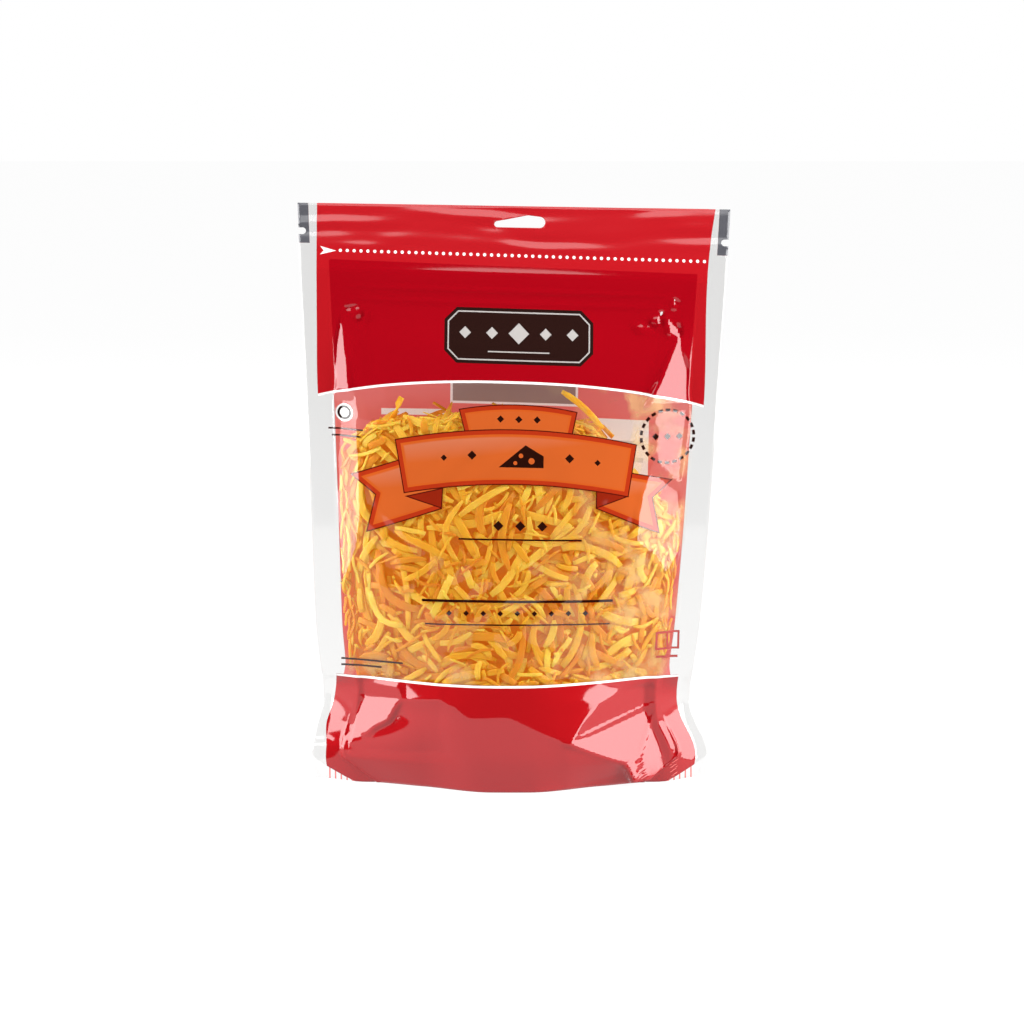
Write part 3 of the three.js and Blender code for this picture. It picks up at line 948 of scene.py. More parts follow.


def front_outside():
    """The front film as seen from outside."""
    material, wire = new_material("front_print")
    x, h, inside, edge, sealed = film_coordinates(wire)
    above, below = field_distances(x, h)
    field = above.most(below)
    # painted light: the red is lighter on the sealed strips, for light sent back by the second film and the
    # seal
    red = constant(wire, RED).painted(SEALED_RED_PAINTED_LIGHT, sealed.ink(SEALED_BLUR).least((h - MID_HEIGHT).ink()))
    # painted light: the red below MID_HEIGHT is lighter, for the light that the table throws up on the foot
    red = red.painted(FOOT_RED_PAINTED_LIGHT, (MID_HEIGHT - h).ink())
    red = red.painted(WHITE, (WHITE_LINE / 2 - abs(field - WHITE_LINE / 2)).ink())
    red = tear_print(header_print(red, x, h), x, h)
    corner_mark = (CORNER_MARK["wide"] - edge).least(h - CORNER_MARK["low"])
    colour, cover = window_print(red, x, h)
    colour = red.painted(colour, (0 - field).ink())
    colour = colour.painted(GREY, corner_mark.ink())
    mask = field.least(inside).most(cover.least(0 - field)).most(corner_mark).ink()
    gloss = (h - DOTS["at"]).ink(HEADER_SOFT["over"]) * HEADER_SOFT["more"] + PRINT_GLOSS
    film_finish(wire, mask, printed(wire, colour, gloss))
    return material


SMEAR = {"colour": srgb(226, 190, 130), "patch": 75.0, "over": 0.47, "gain": 6.0, "most": 0.5}
SMEAR_WHERE = {"from": 8, "full": 46, "low": 60, "over": 12.0, "off_seals": 3.0}
LINING_PINK = print_ink(222, 120, 120)
SEALED_PINK = print_ink(214, 90, 90)


def smears(wire, x, h):
    """Where fat from the cheese makes the film milky: patches on the right and at the window's foot."""
    place_in_bag = wire.node("ShaderNodeTexCoord", output=3)
    cloud = wire.node("ShaderNodeTexNoise", inputs={
        "Vector": place_in_bag, "Scale": SMEAR["patch"], "Detail": 4.0})
    patch = ((cloud - SMEAR["over"]) * SMEAR["gain"]).clamped()
    start, full, low, over, _ = SMEAR_WHERE.values()
    to_right = ((x - start) / (full - start)).clamped()
    to_foot = ((low - h) / over).clamped()
    return patch * to_right.most(to_foot) * SMEAR["most"]


def front_inside():
    """The front film's inner face: the back of the print, and milky patches where it is clear."""
    material, wire = new_material("front_lining")
    x, h, inside, _, sealed = film_coordinates(wire)
    above, below = field_distances(x, h)
    mask = above.most(below).least(inside).ink()
    pink = constant(wire, LINING_PINK).painted(SEALED_PINK, sealed.ink(SEALED_BLUR))
    milk = wire.node("ShaderNodeBsdfDiffuse", inputs={"Color": SMEAR["colour"]})
    milky = smears(wire, x, h) * (0 - sealed).ink(SMEAR_WHERE["off_seals"])
    smeared = wire.node("ShaderNodeMixShader", inputs={0: milky, 1: clear_film(wire), 2: milk})
    film_finish(wire, mask, printed(wire, pink), smeared)
    return material


print("a milky patch hides at most:", SMEAR["most"])

# %% [markdown]
# ## Back film
# Through the window and over the heap one sees the inside of the back film's print: a plate and pale
# panels on red. Light comes through that film from behind, so its inner face glows a little. Both faces
# share one drawing and differ in their inks.

# %% Back film
BACK_PLATE = (-25.5, 27.5, 157.5, 181)
BACK_ROWS = [(-54, -27, 152.2, 154.8), (-44, -34, 148.2, 150.6)]
BACK_PANELS = [(36, 57, 92, 153), (-57, 24, 92, 140)]
BACK_PANEL_BARS = [(38, 55, 100 + 7 * row, 102 + 7 * row) for row in range(7)]
BACK_CORNER = {"from": 66.0, "slope": 0.65, "apart": 2.4, "wide": 0.5}
BACK_INKS = {"field": RED, "frame": SILVER, "plate": PLATE_BROWN, "panel": WHITE, "bar": GREY}
BACK_INKS_INSIDE = {
    "field": print_ink(226, 110, 106), "frame": print_ink(238, 222, 220), "plate": print_ink(150, 122, 116),
    "panel": print_ink(238, 228, 224), "bar": print_ink(205, 196, 190),
}
LIT_THROUGH = {"gloss": 0.3, "glow": 1.0}


def back_print(wire, x, h, inside, inks):
    """The back's colours and where it is printed, for either of its faces. Its corners are striped."""
    colour = constant(wire, inks["field"])
    plate = bar(x, h, *BACK_PLATE)
    colour = colour.painted(inks["frame"], plate.ink()).painted(inks["plate"], (plate - WHITE_LINE).ink())
    for panel in BACK_ROWS + BACK_PANELS:
        colour = colour.painted(inks["panel"], bar(x, h, *panel).ink())
    for row in BACK_PANEL_BARS:
        colour = colour.painted(inks["bar"], bar(x, h, *row).ink())
    corner = (abs(x) - BACK_CORNER["from"]) * BACK_CORNER["slope"] - h
    gap = (BACK_CORNER["apart"] - BACK_CORNER["wide"]) / 2
    stripe = x.math("PINGPONG", x, BACK_CORNER["apart"] / 2) - gap
    return colour, inside.least((0 - corner).most(stripe)).ink()


def back_outside():
    """The back film as seen from outside."""
    material, wire = new_material("back_print")
    x, h, inside, _, sealed = film_coordinates(wire)
    colour, mask = back_print(wire, x, h, inside, BACK_INKS)
    # painted light: lighter red on the sealed strips, for light sent back by the second film and the seal
    colour = colour.painted(SEALED_RED_PAINTED_LIGHT, sealed.ink(SEALED_BLUR))
    film_finish(wire, mask, printed(wire, colour))
    return material


def back_inside():
    """The back film as seen through the window, with the light that comes through it."""
    material, wire = new_material("back_lining")
    x, h, inside, _, _ = film_coordinates(wire)
    colour, mask = back_print(wire, x, h, inside, BACK_INKS_INSIDE)
    lit_through = wire.node("ShaderNodeBsdfPrincipled", inputs={
        "Base Color": colour, "Roughness": LIT_THROUGH["gloss"],
        "Emission Color": colour, "Emission Strength": LIT_THROUGH["glow"]})
    film_finish(wire, mask, lit_through)
    return material


print("bars on the back:", len(BACK_PANEL_BARS))

# %% [markdown]
# ## Films
# Each film is a fine grid. Its columns are close together towards the seals, where the panel turns
# fastest, and its rows at the zip. Every point carries where it lies on the flattened bag, which the
# print reads. The front film's two lower corners are cut off at a slant, as on the real bag, and the
# back film's corners show below them.

# %% Films
FILM = 0.14
ROW_BANDS = [(44, 44), (196, 100), (209, 24), (HEIGHT, 28)]
PANEL_COLUMNS = 132
SEAL_COLUMNS = 9
CROWDING = 0.2  # how much the columns crowd towards the seals
FRONT_MARGIN = {
    "left": [[0, 5.4], [14, 5.8], [25, 3.8], [48, 6.2], [163, 4.8], [190, 5.8], [215, 6.9], [HEIGHT, 8.0]],
    "right": [[0, 5.4], [48, 5.6], [160, 5.5], [215, 7.8], [228, 7.3], [HEIGHT, 6.1]],
}
BACK_MARGIN = {
    "left": [[0, 5.6], [40, 8.0], [52, 10.8], [160, 11.3], [175, 9.0], [HEIGHT, 8.3]],
    "right": [[0, 5.6], [40, 8.0], [52, 10.3], [160, 10.3], [175, 9.0], [HEIGHT, 8.8]],
}
FRONT_CORNER_CUT = [[0, 0], [65.5, 0], [76, 7.6], [83, 12]]
WHOLE_CORNER = [[0, 0], [90, 0]]
CUT_FADE = 45  # height up to which the rows make room for the cut
TOP_SEAL_TILT = 0.01


def row_height(v):
    """Height of a row, v from 0 to 1, with the rows shared out over the bands."""
    ends = np.cumsum([0] + [rows for _, rows in ROW_BANDS])
    return np.interp(v * ends[-1], ends, [0] + [top for top, _ in ROW_BANDS])


def spread(u, h):
    """x of a column, u from 0 to 1: crowded towards the seals and even in them."""
    column = (u - 0.5) * (PANEL_COLUMNS + 2 * SEAL_COLUMNS)
    share = np.minimum(1, np.abs(column) / (PANEL_COLUMNS / 2))
    beyond = np.maximum(0, (np.abs(column) - PANEL_COLUMNS / 2) / SEAL_COLUMNS)
    t = np.sin((share * (1 - CROWDING) + share**3 * CROWDING) * math.pi / 2)
    inner = half_panel(h)
    return np.sign(column) * (inner * t + (along(HALF_WIDTH, h) - inner) * beyond)


def sealed_depth(x, h):
    """Distance inside the sealed strips, negative where the panels are free."""
    return np.maximum(np.abs(x) - half_panel(h), h - HEADER_LOW + TOP_SEAL_TILT * x)


def film_grid(side, margins, corner_cut):
    """One film as a grid in place, with its coordinates for the print."""
    bm = bmesh.new()
    flat = bm.verts.layers.float_vector.new("flat")
    seam = bm.verts.layers.float_vector.new("seam")
    columns = PANEL_COLUMNS + 2 * SEAL_COLUMNS
    rows = sum(count for _, count in ROW_BANDS)
    bmesh.ops.create_grid(bm, x_segments=columns, y_segments=rows, size=0.5)
    uv = np.array([v.co[:2] for v in bm.verts]) + 0.5
    h = row_height(uv[:, 1])
    cut = np.interp(np.abs(spread(uv[:, 0], h)), *np.array(corner_cut).T)
    h = h + cut * np.maximum(0, 1 - h / CUT_FADE)
    x = spread(uv[:, 0], h)
    points = place(x, h, side["side"] * stand_out(side, x, h))
    edge = along(HALF_WIDTH, h) - np.abs(x)
    inside = edge - np.where(x < 0, along(margins["left"], h), along(margins["right"], h))
    sealed = sealed_depth(x, h)
    for v, point, flat_x, flat_h, depth, rim, held in zip(bm.verts, points, x, h, inside, edge, sealed):
        v.co = point
        v[flat] = (flat_x, flat_h, depth)
        v[seam] = (rim, held, 0)
    if side["side"] > 0:
        bmesh.ops.reverse_faces(bm, faces=bm.faces)
    return bm


print("points in a film:", (PANEL_COLUMNS + 2 * SEAL_COLUMNS + 1) * (sum(rows for _, rows in ROW_BANDS) + 1))

# %% [markdown]
# ## Hang slot and tear notches
# The hang slot tapers to the left. Its outline goes round three circles, and each tear notch is a short
# cut with a round end. Both films are cut along the outline: the faces inside it are sliced by one plane
# after another, and what is left inside all of them is removed, so the edges stay smooth. A Boolean
# modifier would cut them too, but it can fail on sheets without a thickness.

# %% Hang slot and tear notches
SLOT = [(-6.8, 232.7, 1.25), (10.6, 233.4, 2.25), (5.8, 233.7, 2.55)]
NOTCH = {"at": 227.6, "deep": 3, "high": 2.7}
ARC_STEP = math.radians(18)


def arc(middle, radius, start, end):
    """Points on an arc, anticlockwise."""
    end = start + (end - start) % (2 * math.pi)
    turns = np.linspace(start, end, 2 + int((end - start) / ARC_STEP))
    return [(middle[0] + radius * math.cos(a), middle[1] + radius * math.sin(a)) for a in turns]


def slot_outline():
    """The line round the three circles of the slot."""
    facing = []
    for (x, z, r), (nx, nz, nr) in zip(SLOT, SLOT[1:] + SLOT[:1]):
        heading = math.atan2(nz - z, nx - x)
        facing.append(heading - math.acos((r - nr) / math.hypot(nx - x, nz - z)))
    outline = []
    for i, (x, z, r) in enumerate(SLOT):
        outline += arc((x, z), r, facing[i - 1], facing[i])
    return outline


def notch_outline(side):
    """A tear notch in the left (-1) or right (1) edge, from outside the film to its round end."""
    half = float(along(HALF_WIDTH, np.array(NOTCH["at"])))
    rim = side * half + float(along(SWAY, np.array(NOTCH["at"])))
    middle = NOTCH["at"] - float(along(LEVEL_SLOPE, np.array(NOTCH["at"]))) * side * half
    radius = NOTCH["high"] / 2
    end = rim - side * (NOTCH["deep"] - radius)
    start = -math.pi / 2 if side < 0 else math.pi / 2
    outside = [(rim + side * NOTCH["deep"], middle + turn * side * radius) for turn in (-1, 1)]
    return arc((end, middle), radius, start, start + math.pi) + outside


def cut_out(bm, outline):
    """Cuts a convex outline, given anticlockwise, out of a sheet."""
    low = np.min(outline, axis=0)
    high = np.max(outline, axis=0)
    faces = []
    for face in bm.faces:
        corners = np.array([[v.co.x, v.co.z] for v in face.verts])
        if (corners.max(0) >= low).all() and (corners.min(0) <= high).all():
            faces.append(face)
    for (ax, az), (bx, bz) in zip(outline, outline[1:] + outline[:1]):
        outward = Vector((bz - az, 0, ax - bx))
        if outward.length < 1e-6:
            continue
        parts = set(faces)
        for face in faces:
            parts.update(face.edges)
            parts.update(face.verts)
        origin = Vector((ax, 0, az))
        cut = bmesh.ops.bisect_plane(bm, geom=list(parts), plane_co=origin, plane_no=outward.normalized())
        kept = [part for part in cut["geom"] if isinstance(part, bmesh.types.BMFace)]
        faces = [face for face in kept if (face.calc_center_median() - origin).dot(outward) < 0]
    bmesh.ops.delete(bm, geom=faces, context="FACES")
    return len(faces)


def make_film(side, margins, corner_cut, materials):
    """A whole film: its grid, its holes and its thickness."""
    bm = film_grid(side, margins, corner_cut)
    removed = [cut_out(bm, outline) for outline in (slot_outline(), notch_outline(-1), notch_outline(1))]
    print(side["name"], "faces cut away:", removed)
    film = to_piece(side["name"], bm, materials)
    thicken(film, FILM, inner_material=1)


make_film(FRONT, FRONT_MARGIN, FRONT_CORNER_CUT, [front_outside(), front_inside()])
make_film(BACK, BACK_MARGIN, WHOLE_CORNER, [back_outside(), back_inside()])

# %% [markdown]
# ## Gusset
# The foot of the bag is a third film, folded inwards. Its rim hangs down inside the two panels, and its
# middle bows up to the old fold line across it. It could be cut from the panels' mesh, but a grid of its
# own, stretched from the front panel to the back one, is simpler to shape. Only the rim touches the table.

# %% Gusset
GUSSET_SIZE = {"columns": 110, "rows": 40, "off_seam": 0.5}
GUSSET_RISE = {"high": 6, "power": 0.8}
GUSSET_RIM = {"high": 2.2, "over": 0.12}
GUSSET_RIPPLE = {"high": 0.35, "size": 9, "bend": 2, "bend_size": 7, "over": 0.4}
GUSSET_OFF_TABLE = 0.15
FULL_GUSSET = 30  # depth of the bag at which the gusset has its full height
GUSSET_CLOUD = {"scale": 60.0, "ink": print_ink(190, 10, 28)}


def make_gusset():
    """The bottom film, from the front panel's inner face to the back panel's."""
    bm = bmesh.new()
    bmesh.ops.create_grid(bm, x_segments=GUSSET_SIZE["columns"], y_segments=GUSSET_SIZE["rows"], size=0.5)
    uv = np.array([v.co[:2] for v in bm.verts]) + 0.5
    x = (uv[:, 0] * 2 - 1) * (half_panel(np.array(0.0)) - GUSSET_SIZE["off_seam"])
    zero = np.zeros(len(x))
    front = stand_out(FRONT, x, zero) - 2 * FILM
    back = stand_out(BACK, x, zero) - 2 * FILM
    y = -front + (front + back) * uv[:, 1]
    side = 1 - np.abs(2 * uv[:, 1] - 1)
    deep = np.minimum(1, (front + back) / FULL_GUSSET)
    roof = GUSSET_RISE["high"] * deep * side ** GUSSET_RISE["power"]
    roof = roof + GUSSET_RIM["high"] * deep * smoothstep(0, GUSSET_RIM["over"], side)
    crest = x / GUSSET_RIPPLE["size"] + GUSSET_RIPPLE["bend"] * np.sin(y / GUSSET_RIPPLE["bend_size"])
    roof = roof + GUSSET_RIPPLE["high"] * np.sin(crest) * smoothstep(0, GUSSET_RIPPLE["over"], side)
    points = place(x, zero, y)
    points[:, 2] += roof + GUSSET_OFF_TABLE
    for v, point in zip(bm.verts, points):
        v.co = point
    bmesh.ops.reverse_faces(bm, faces=bm.faces)
    material, wire = new_material("gusset_print")
    place_in_bag = wire.node("ShaderNodeTexCoord", output=3)
    cloud = wire.node("ShaderNodeTexNoise", inputs={"Vector": place_in_bag, "Scale": GUSSET_CLOUD["scale"]})
    red = constant(wire, RED).painted(GUSSET_CLOUD["ink"], cloud)
    finish_material(wire, printed(wire, red))
    thicken(to_piece("gusset_film", bm, [material]), FILM)


make_gusset()

# %% [markdown]
# ## Zip
# Inside the bag, below the header, a milky strip is welded to each film. Each lies along its film and has
# two ribs that reach to the middle of the bag, where they hook behind those of the other. Extruded bars
# would be too stiff for the curve of the panels, so a strip is a grid that follows its film.

# %% Zip
ZIP = {
    "low": 197.5, "high": 208.5, "side_gap": 8.5, "film_gap": 0.1, "meet": 0.12, "thick": 0.35,
    "rib_wide": 0.9, "rib_power": 4, "back_ribs_up": 2.5,
}
ZIP_SIZE = {"columns": 60, "rows": 44}


def make_zip(name, side, ribs_up):
    """One strip with its ribs."""
    bm = bmesh.new()
    bmesh.ops.create_grid(bm, x_segments=ZIP_SIZE["columns"], y_segments=ZIP_SIZE["rows"], size=0.5)
    uv = np.array([v.co[:2] for v in bm.verts]) + 0.5
    h = ZIP["low"] + uv[:, 1] * (ZIP["high"] - ZIP["low"])
    x = (uv[:, 0] * 2 - 1) * (half_panel(h) - ZIP["side_gap"])
    behind_film = stand_out(side, x, h) - FILM - ZIP["film_gap"]
    from_ribs = [(h - r["at"] - ribs_up) / ZIP["rib_wide"] for r in ZIP_RIDGES]
    ribs = sum(np.exp(-(away ** ZIP["rib_power"])) for away in from_ribs)
    free = np.maximum(0, behind_film - ZIP["thick"] - ZIP["meet"])
    y = np.minimum(behind_film, ZIP["meet"] + free * (1 - ribs))
    for v, point in zip(bm.verts, place(x, h, side["side"] * y)):
        v.co = point
    if side["side"] < 0:
        bmesh.ops.reverse_faces(bm, faces=bm.faces)
    milky, wire = new_material(name + "_plastic")
    finish_material(wire, wire.node("ShaderNodeBsdfPrincipled", inputs={
        "Base Color": (0.86, 0.84, 0.83, 1), "Roughness": 0.35, "IOR": 1.5, "Alpha": 0.75}))
    thicken(to_piece(name, bm, [milky]), ZIP["thick"])


make_zip("zip_front", FRONT, 0)
make_zip("zip_back", BACK, ZIP["back_ribs_up"])

# %% [markdown]
# ## The heap of cheese
# A heap of shreds is too many pieces to model one by one, and the inner ones never show. So a closed core
# fills the inside, and real shreds lie on it, packed the way they fall: each new shred comes to rest on
# what is already there, bends a little to follow it, and is only kept if it still fits under the film.
# A height field, here the free depth between the heap and the film, makes that quick.

# %% The heap's height field
CELL = 0.5
FIELD_X = np.arange(-86, 86.01, CELL)
FIELD_H = np.arange(43, 176.01, CELL)
HEAP_TOP = [[-84, 138], [-68.5, 142.4], [-50, 151], [-20, 152], [20, 153], [33, 151], [42, 140], [54, 127],
            [66, 116], [84, 108]]
FILM_ROOM = 0.35  # film and a little air between the film's outer face and the shreds


def heap_top(x):
    """Height of the heap below the film's level lines."""
    return along(HEAP_TOP, x)


def on_field(values, x, h):
    """Values of the field at the nearest cells."""
    i = np.clip(np.rint((x - FIELD_X[0]) / CELL).astype(int), 0, len(FIELD_X) - 1)
    j = np.clip(np.rint((h - FIELD_H[0]) / CELL).astype(int), 0, len(FIELD_H) - 1)
    return values[i, j]


field_x, field_h = np.meshgrid(FIELD_X, FIELD_H, indexing="ij")
panel_out = stand_out(FRONT, field_x, field_h)
panel_out_x, panel_out_h = np.gradient(panel_out, CELL)
room_behind = 2 * panel_out - 2 * FILM_ROOM
print("deepest room behind the film, mm:", round(float(room_behind.max()), 1))

# %% [markdown]
# ## One shred
# A shred leaves the grater as a flat strip with soft edges and a square-cut end. It could be a curve with
# a profile. A bevelled box has the same form, and its points can be bent as arrays, all at once. It is cut
# into short parts so that it can bend. All shreds of one kind are copies of it, each on its own line.

# %% One shred
SHRED_KINDS = {  # sizes in mm, bend in radians, and how many parts the form is cut into
    "long": {"length": (17, 42), "wide": (2.3, 3.5), "thick": (0.7, 1.1), "bend": 0.45, "parts": 7},
    "short": {"length": (8, 20), "wide": (1.8, 3.0), "thick": (0.6, 1.0), "bend": 0.3, "parts": 5},
    "fine": {"length": (7, 18), "wide": (0.9, 1.5), "thick": (0.4, 0.7), "bend": 0.35, "parts": 5},
    "crumb": {"length": (1.6, 3.6), "wide": (1.2, 2.2), "thick": (0.7, 1.1), "bend": 0.1, "parts": 1},
}
SHRED_BEVEL = 0.3


def shred_form(parts):
    """A straight shred from -1 to 1 in each direction: its points and its faces."""
    bm = bmesh.new()
    bmesh.ops.create_cube(bm, size=2)
    long_edges = [e for e in bm.edges if abs(e.verts[0].co.x - e.verts[1].co.x) > 1]
    bmesh.ops.bevel(
        bm, geom=long_edges, offset=SHRED_BEVEL, segments=1, profile=0.5, affect="EDGES", material=-1)
    long_edges = [e for e in bm.edges if abs(e.verts[0].co.x - e.verts[1].co.x) > 1]
    bmesh.ops.subdivide_edges(bm, edges=long_edges, cuts=parts - 1)
    bmesh.ops.recalc_face_normals(bm, faces=bm.faces)
    points = np.array([v.co[:] for v in bm.verts])
    faces = [[v.index for v in face.verts] for face in bm.faces]
    bm.free()
    return points, faces


print("faces of one long shred:", len(shred_form(SHRED_KINDS["long"]["parts"])[1]))

# %% [markdown]
# ## One shred settles
# A physics simulation could drop the shreds, but where they come to lie would be hard to steer. Here a
# shred's line is drawn first. Then it feels for the heap at a few points across its width, rests on the
# highest ones, sags a little between them, and takes its own thickness off the free depth for the next
# one. Every draw comes from one seeded generator, so the heap is the same in each run.

# %% One shred settles
LAY_STEPS = 13
END_TAPER = (0.35, 0.95)  # width of an end, as a share of the middle's
FEELERS = (-0.4, -0.15, 0.15, 0.4)  # where a shred feels for the heap, in widths from its middle
SINKS = 0.35  # mm that it may sink into what lies under it
SEAM_ROOM = 0.6  # mm that a shred's line keeps from the seam
ABOVE_TOP = 2.5  # mm that a shred may reach above the heap's top line
LAID_TWIST = 0.15  # radians, spread of the twist between a shred's middle and its ends
FINE_STEPS = 1.5  # points along a shred for each cell that it crosses
rng = np.random.default_rng(38)


def lay_shred(kind, free_depth, centre, heading):
    """Lets one shred settle on the heap. Its line and size, or None if it doesn't fit under the film."""
    length = rng.uniform(*kind["length"])
    wide = rng.uniform(*kind["wide"])
    thick = rng.uniform(*kind["thick"])
    bend = rng.normal(0, kind["bend"])
    wiggle = rng.normal(0, kind["bend"] / 4)
    s = np.linspace(-0.5, 0.5, LAY_STEPS)
    turn = heading + bend * s * 2 + wiggle * np.sin(2 * math.pi * s)
    slope = on_field(panel_out_x, *centre)
    x = np.cumsum(np.cos(turn)) * length / LAY_STEPS / math.hypot(1, slope)
    h = np.cumsum(np.sin(turn)) * length / LAY_STEPS
    x, h = x - x.mean() + centre[0], h - h.mean() + centre[1]
    over_seam = np.abs(x) > half_panel(h) - SEAM_ROOM
    if over_seam.any() or (h > heap_top(x) + ABOVE_TOP).any() or (h < FIELD_H[0]).any():
        return None
    side_x, side_h = -np.sin(turn), np.cos(turn)
    under = [on_field(free_depth, x + side_x * wide * a, h + side_h * wide * a) for a in FEELERS]
    under = np.min(under, axis=0)
    padded_under = np.pad(under, 1, mode="edge")
    rest = np.minimum(padded_under[:-2], np.minimum(padded_under[1:-1], padded_under[2:]))
    padded_rest = np.pad(rest, 2, mode="edge")
    rest = sum(padded_rest[i:i + LAY_STEPS] for i in range(5)) / 5
    rest = np.minimum(rest, under + SINKS)
    top = rest - thick
    if top.min() < 0:
        return None
    fine_s = np.linspace(0, LAY_STEPS - 1, int(length / CELL * FINE_STEPS) + 2)
    stations = np.arange(LAY_STEPS)
    for a in np.arange(-0.5, 0.51, min(0.5, CELL / wide)):
        cover_x = np.interp(fine_s, stations, x + side_x * wide * a)
        cover_h = np.interp(fine_s, stations, h + side_h * wide * a)
        i = np.clip(np.rint((cover_x - FIELD_X[0]) / CELL).astype(int), 0, len(FIELD_X) - 1)
        j = np.clip(np.rint((cover_h - FIELD_H[0]) / CELL).astype(int), 0, len(FIELD_H) - 1)
        np.minimum.at(free_depth, (i, j), np.interp(fine_s, stations, top))
    return {"x": x, "h": h, "deep": top + thick / 2, "wide": wide, "thick": thick,
            "twist": rng.normal(0, LAID_TWIST), "tone": rng.uniform(), "ends": rng.uniform(*END_TAPER, 2)}


print("steps along a shred:", LAY_STEPS)

# %% [markdown]
# ## Packing
# Along the seams the bag is shallow and the shreds lie upright beside each other, so a few are laid there
# first. The long, wide ones follow and the fine ones and crumbs come last, so that they slip into the
# hollows that are left.

# %% Packing
CORE_DEPTH = 3.9  # mm from the film back to the core, before any shred is laid
BACK_ROOM = 0.3  # mm kept free in front of the back film
PACKED = {"half": 78, "low": 44}  # mm, how far to each side and from what height shreds are tried
EDGE_GAP = (0.9, 4.5)  # mm from the seam to an upright shred's middle
EDGE_SWING = 0.12  # radians, spread of how an upright shred stands


def pack_front(plan):
    """Lays shreds in turns. plan: kind, how many to keep, how many tries that may take, and where."""
    free_depth = np.minimum(CORE_DEPTH, room_behind - BACK_ROOM)
    laid = {name: [] for name in SHRED_KINDS}
    for name, wanted, tries, where in plan:
        kept = 0
        for _ in range(tries):
            x = rng.uniform(-PACKED["half"], PACKED["half"])
            heading = rng.uniform(0, math.pi)
            h = rng.uniform(PACKED["low"], float(heap_top(np.array(x))))
            if where == "edge":
                x = math.copysign(float(half_panel(np.array(h))) - rng.uniform(*EDGE_GAP), x)
                heading = math.pi / 2 + rng.normal(0, EDGE_SWING)
            shred = lay_shred(SHRED_KINDS[name], free_depth, (x, h), heading)
            if shred is not None:
                laid[name].append(shred)
                kept += 1
            if kept == wanted:
                break
    seen = (field_h < heap_top(field_x)) & (np.abs(field_x) < half_panel(field_h) - EDGE_GAP[1])
    covered = free_depth[seen]
    print("mean free depth under the film, mm:", round(float(covered.mean()), 2))
    return laid


def front_line(shred):
    """The line of a shred under the front film, in place, and the film's direction there."""
    x, h = shred["x"], shred["h"]
    out_x, out_h = on_field(panel_out_x, x, h), on_field(panel_out_h, x, h)
    facing = np.stack([-out_x, -np.ones(len(x)), -out_h], axis=1)
    facing /= np.linalg.norm(facing, axis=1, keepdims=True)
    deep = shred["deep"] + FILM_ROOM
    line = place(x, h, -on_field(panel_out, x, h)) - facing * deep[:, None]
    return line, facing


PLAN = [
    ("fine", 90, 900, "edge"), ("long", 40, 300, "edge"), ("short", 70, 500, "edge"),
    ("long", 450, 2000, "all"), ("short", 200, 800, "all"), ("long", 450, 3500, "all"),
    ("short", 60, 500, "edge"), ("short", 300, 2000, "all"), ("long", 400, 5000, "all"),
    ("short", 500, 5000, "all"), ("fine", 60, 500, "edge"), ("fine", 500, 4000, "all"),
    ("crumb", 150, 1000, "all"),
]
laid_shreds = pack_front(PLAN)
print({name: len(shreds) for name, shreds in laid_shreds.items()})

# %% [markdown]
# ## The top of the heap
# From a little above, the camera also sees the top of the heap, from the front film to the back film.
# These shreds lie across it at all angles, so they are drawn loosely and only kept off the films. One has
# stayed up and leans on the front film.

# %% The top of the heap
TOP = {
    "length_share": 0.8, "across": (-76, 72), "rise": 0.25, "sunk": (0, 4), "film_room": 1.2,
    "least_room": 1.5, "spread": 0.7, "twist": 0.5,
}


def top_shred(kind):
    """A shred that lies loosely on top of the heap, between the films."""
    length = rng.uniform(*kind["length"]) * TOP["length_share"]
    x = rng.uniform(*TOP["across"])
    turn = rng.uniform(0, 2 * math.pi)
    rise = rng.normal(0, TOP["rise"])
    s = np.linspace(-0.5, 0.5, LAY_STEPS) * length
    bend = rng.normal(0, kind["bend"])
    heading = turn + bend * s / length
    line_x = x + np.cumsum(np.cos(heading)) * length / LAY_STEPS - math.cos(turn) * length / 2
    y = np.cumsum(np.sin(heading)) * length / LAY_STEPS - math.sin(turn) * length / 2
    h = heap_top(line_x) - rng.uniform(*TOP["sunk"]) + rise * s
    room = on_field(panel_out, line_x, h) - TOP["film_room"] - rng.uniform(*kind["thick"])
    if room.min() < TOP["least_room"]:
        return None
    y = np.clip(y + rng.uniform(-TOP["spread"], TOP["spread"]) * room.min(), -room, room)
    return {
        "line": place(line_x, h, y), "wide": rng.uniform(*kind["wide"]),
        "thick": rng.uniform(*kind["thick"]), "twist": rng.normal(0, TOP["twist"]),
        "tone": rng.uniform(), "ends": rng.uniform(*END_TAPER, 2),
    }


def heap_cover(name, wanted):
    """As many loose shreds of one kind as wanted."""
    found = []
    while len(found) < wanted:
        shred = top_shred(SHRED_KINDS[name])
        if shred is not None:
            found.append(shred)
    return found


LEANING = {"top": (20.5, 165.7), "foot": (37.5, 151.0), "bow": 1.5, "behind": 1.6}
LEANING_SIZE = {"wide": 2.6, "thick": 0.9, "twist": 0.2, "tone": 0.6, "ends": (0.6, 0.6)}
ON_TOP = {"long": 150, "short": 150, "fine": 90}


def leaning_shred():
    """The one that has stayed up: its foot is in the heap and its top leans on the front film."""
    s = np.linspace(0, 1, LAY_STEPS)
    x = LEANING["top"][0] + (LEANING["foot"][0] - LEANING["top"][0]) * s
    h = LEANING["top"][1] + (LEANING["foot"][1] - LEANING["top"][1]) * s
    h = h + LEANING["bow"] * np.sin(math.pi * s)
    y = -on_field(panel_out, x, h) + LEANING["behind"]
    return {"line": place(x, h, y), "facing": (0.0, -1.0, 0.0), **LEANING_SIZE}


top_shreds = {name: heap_cover(name, wanted) for name, wanted in ON_TOP.items()}
top_shreds["long"].insert(0, leaning_shred())
print("on top:", {name: len(shreds) for name, shreds in top_shreds.items()})

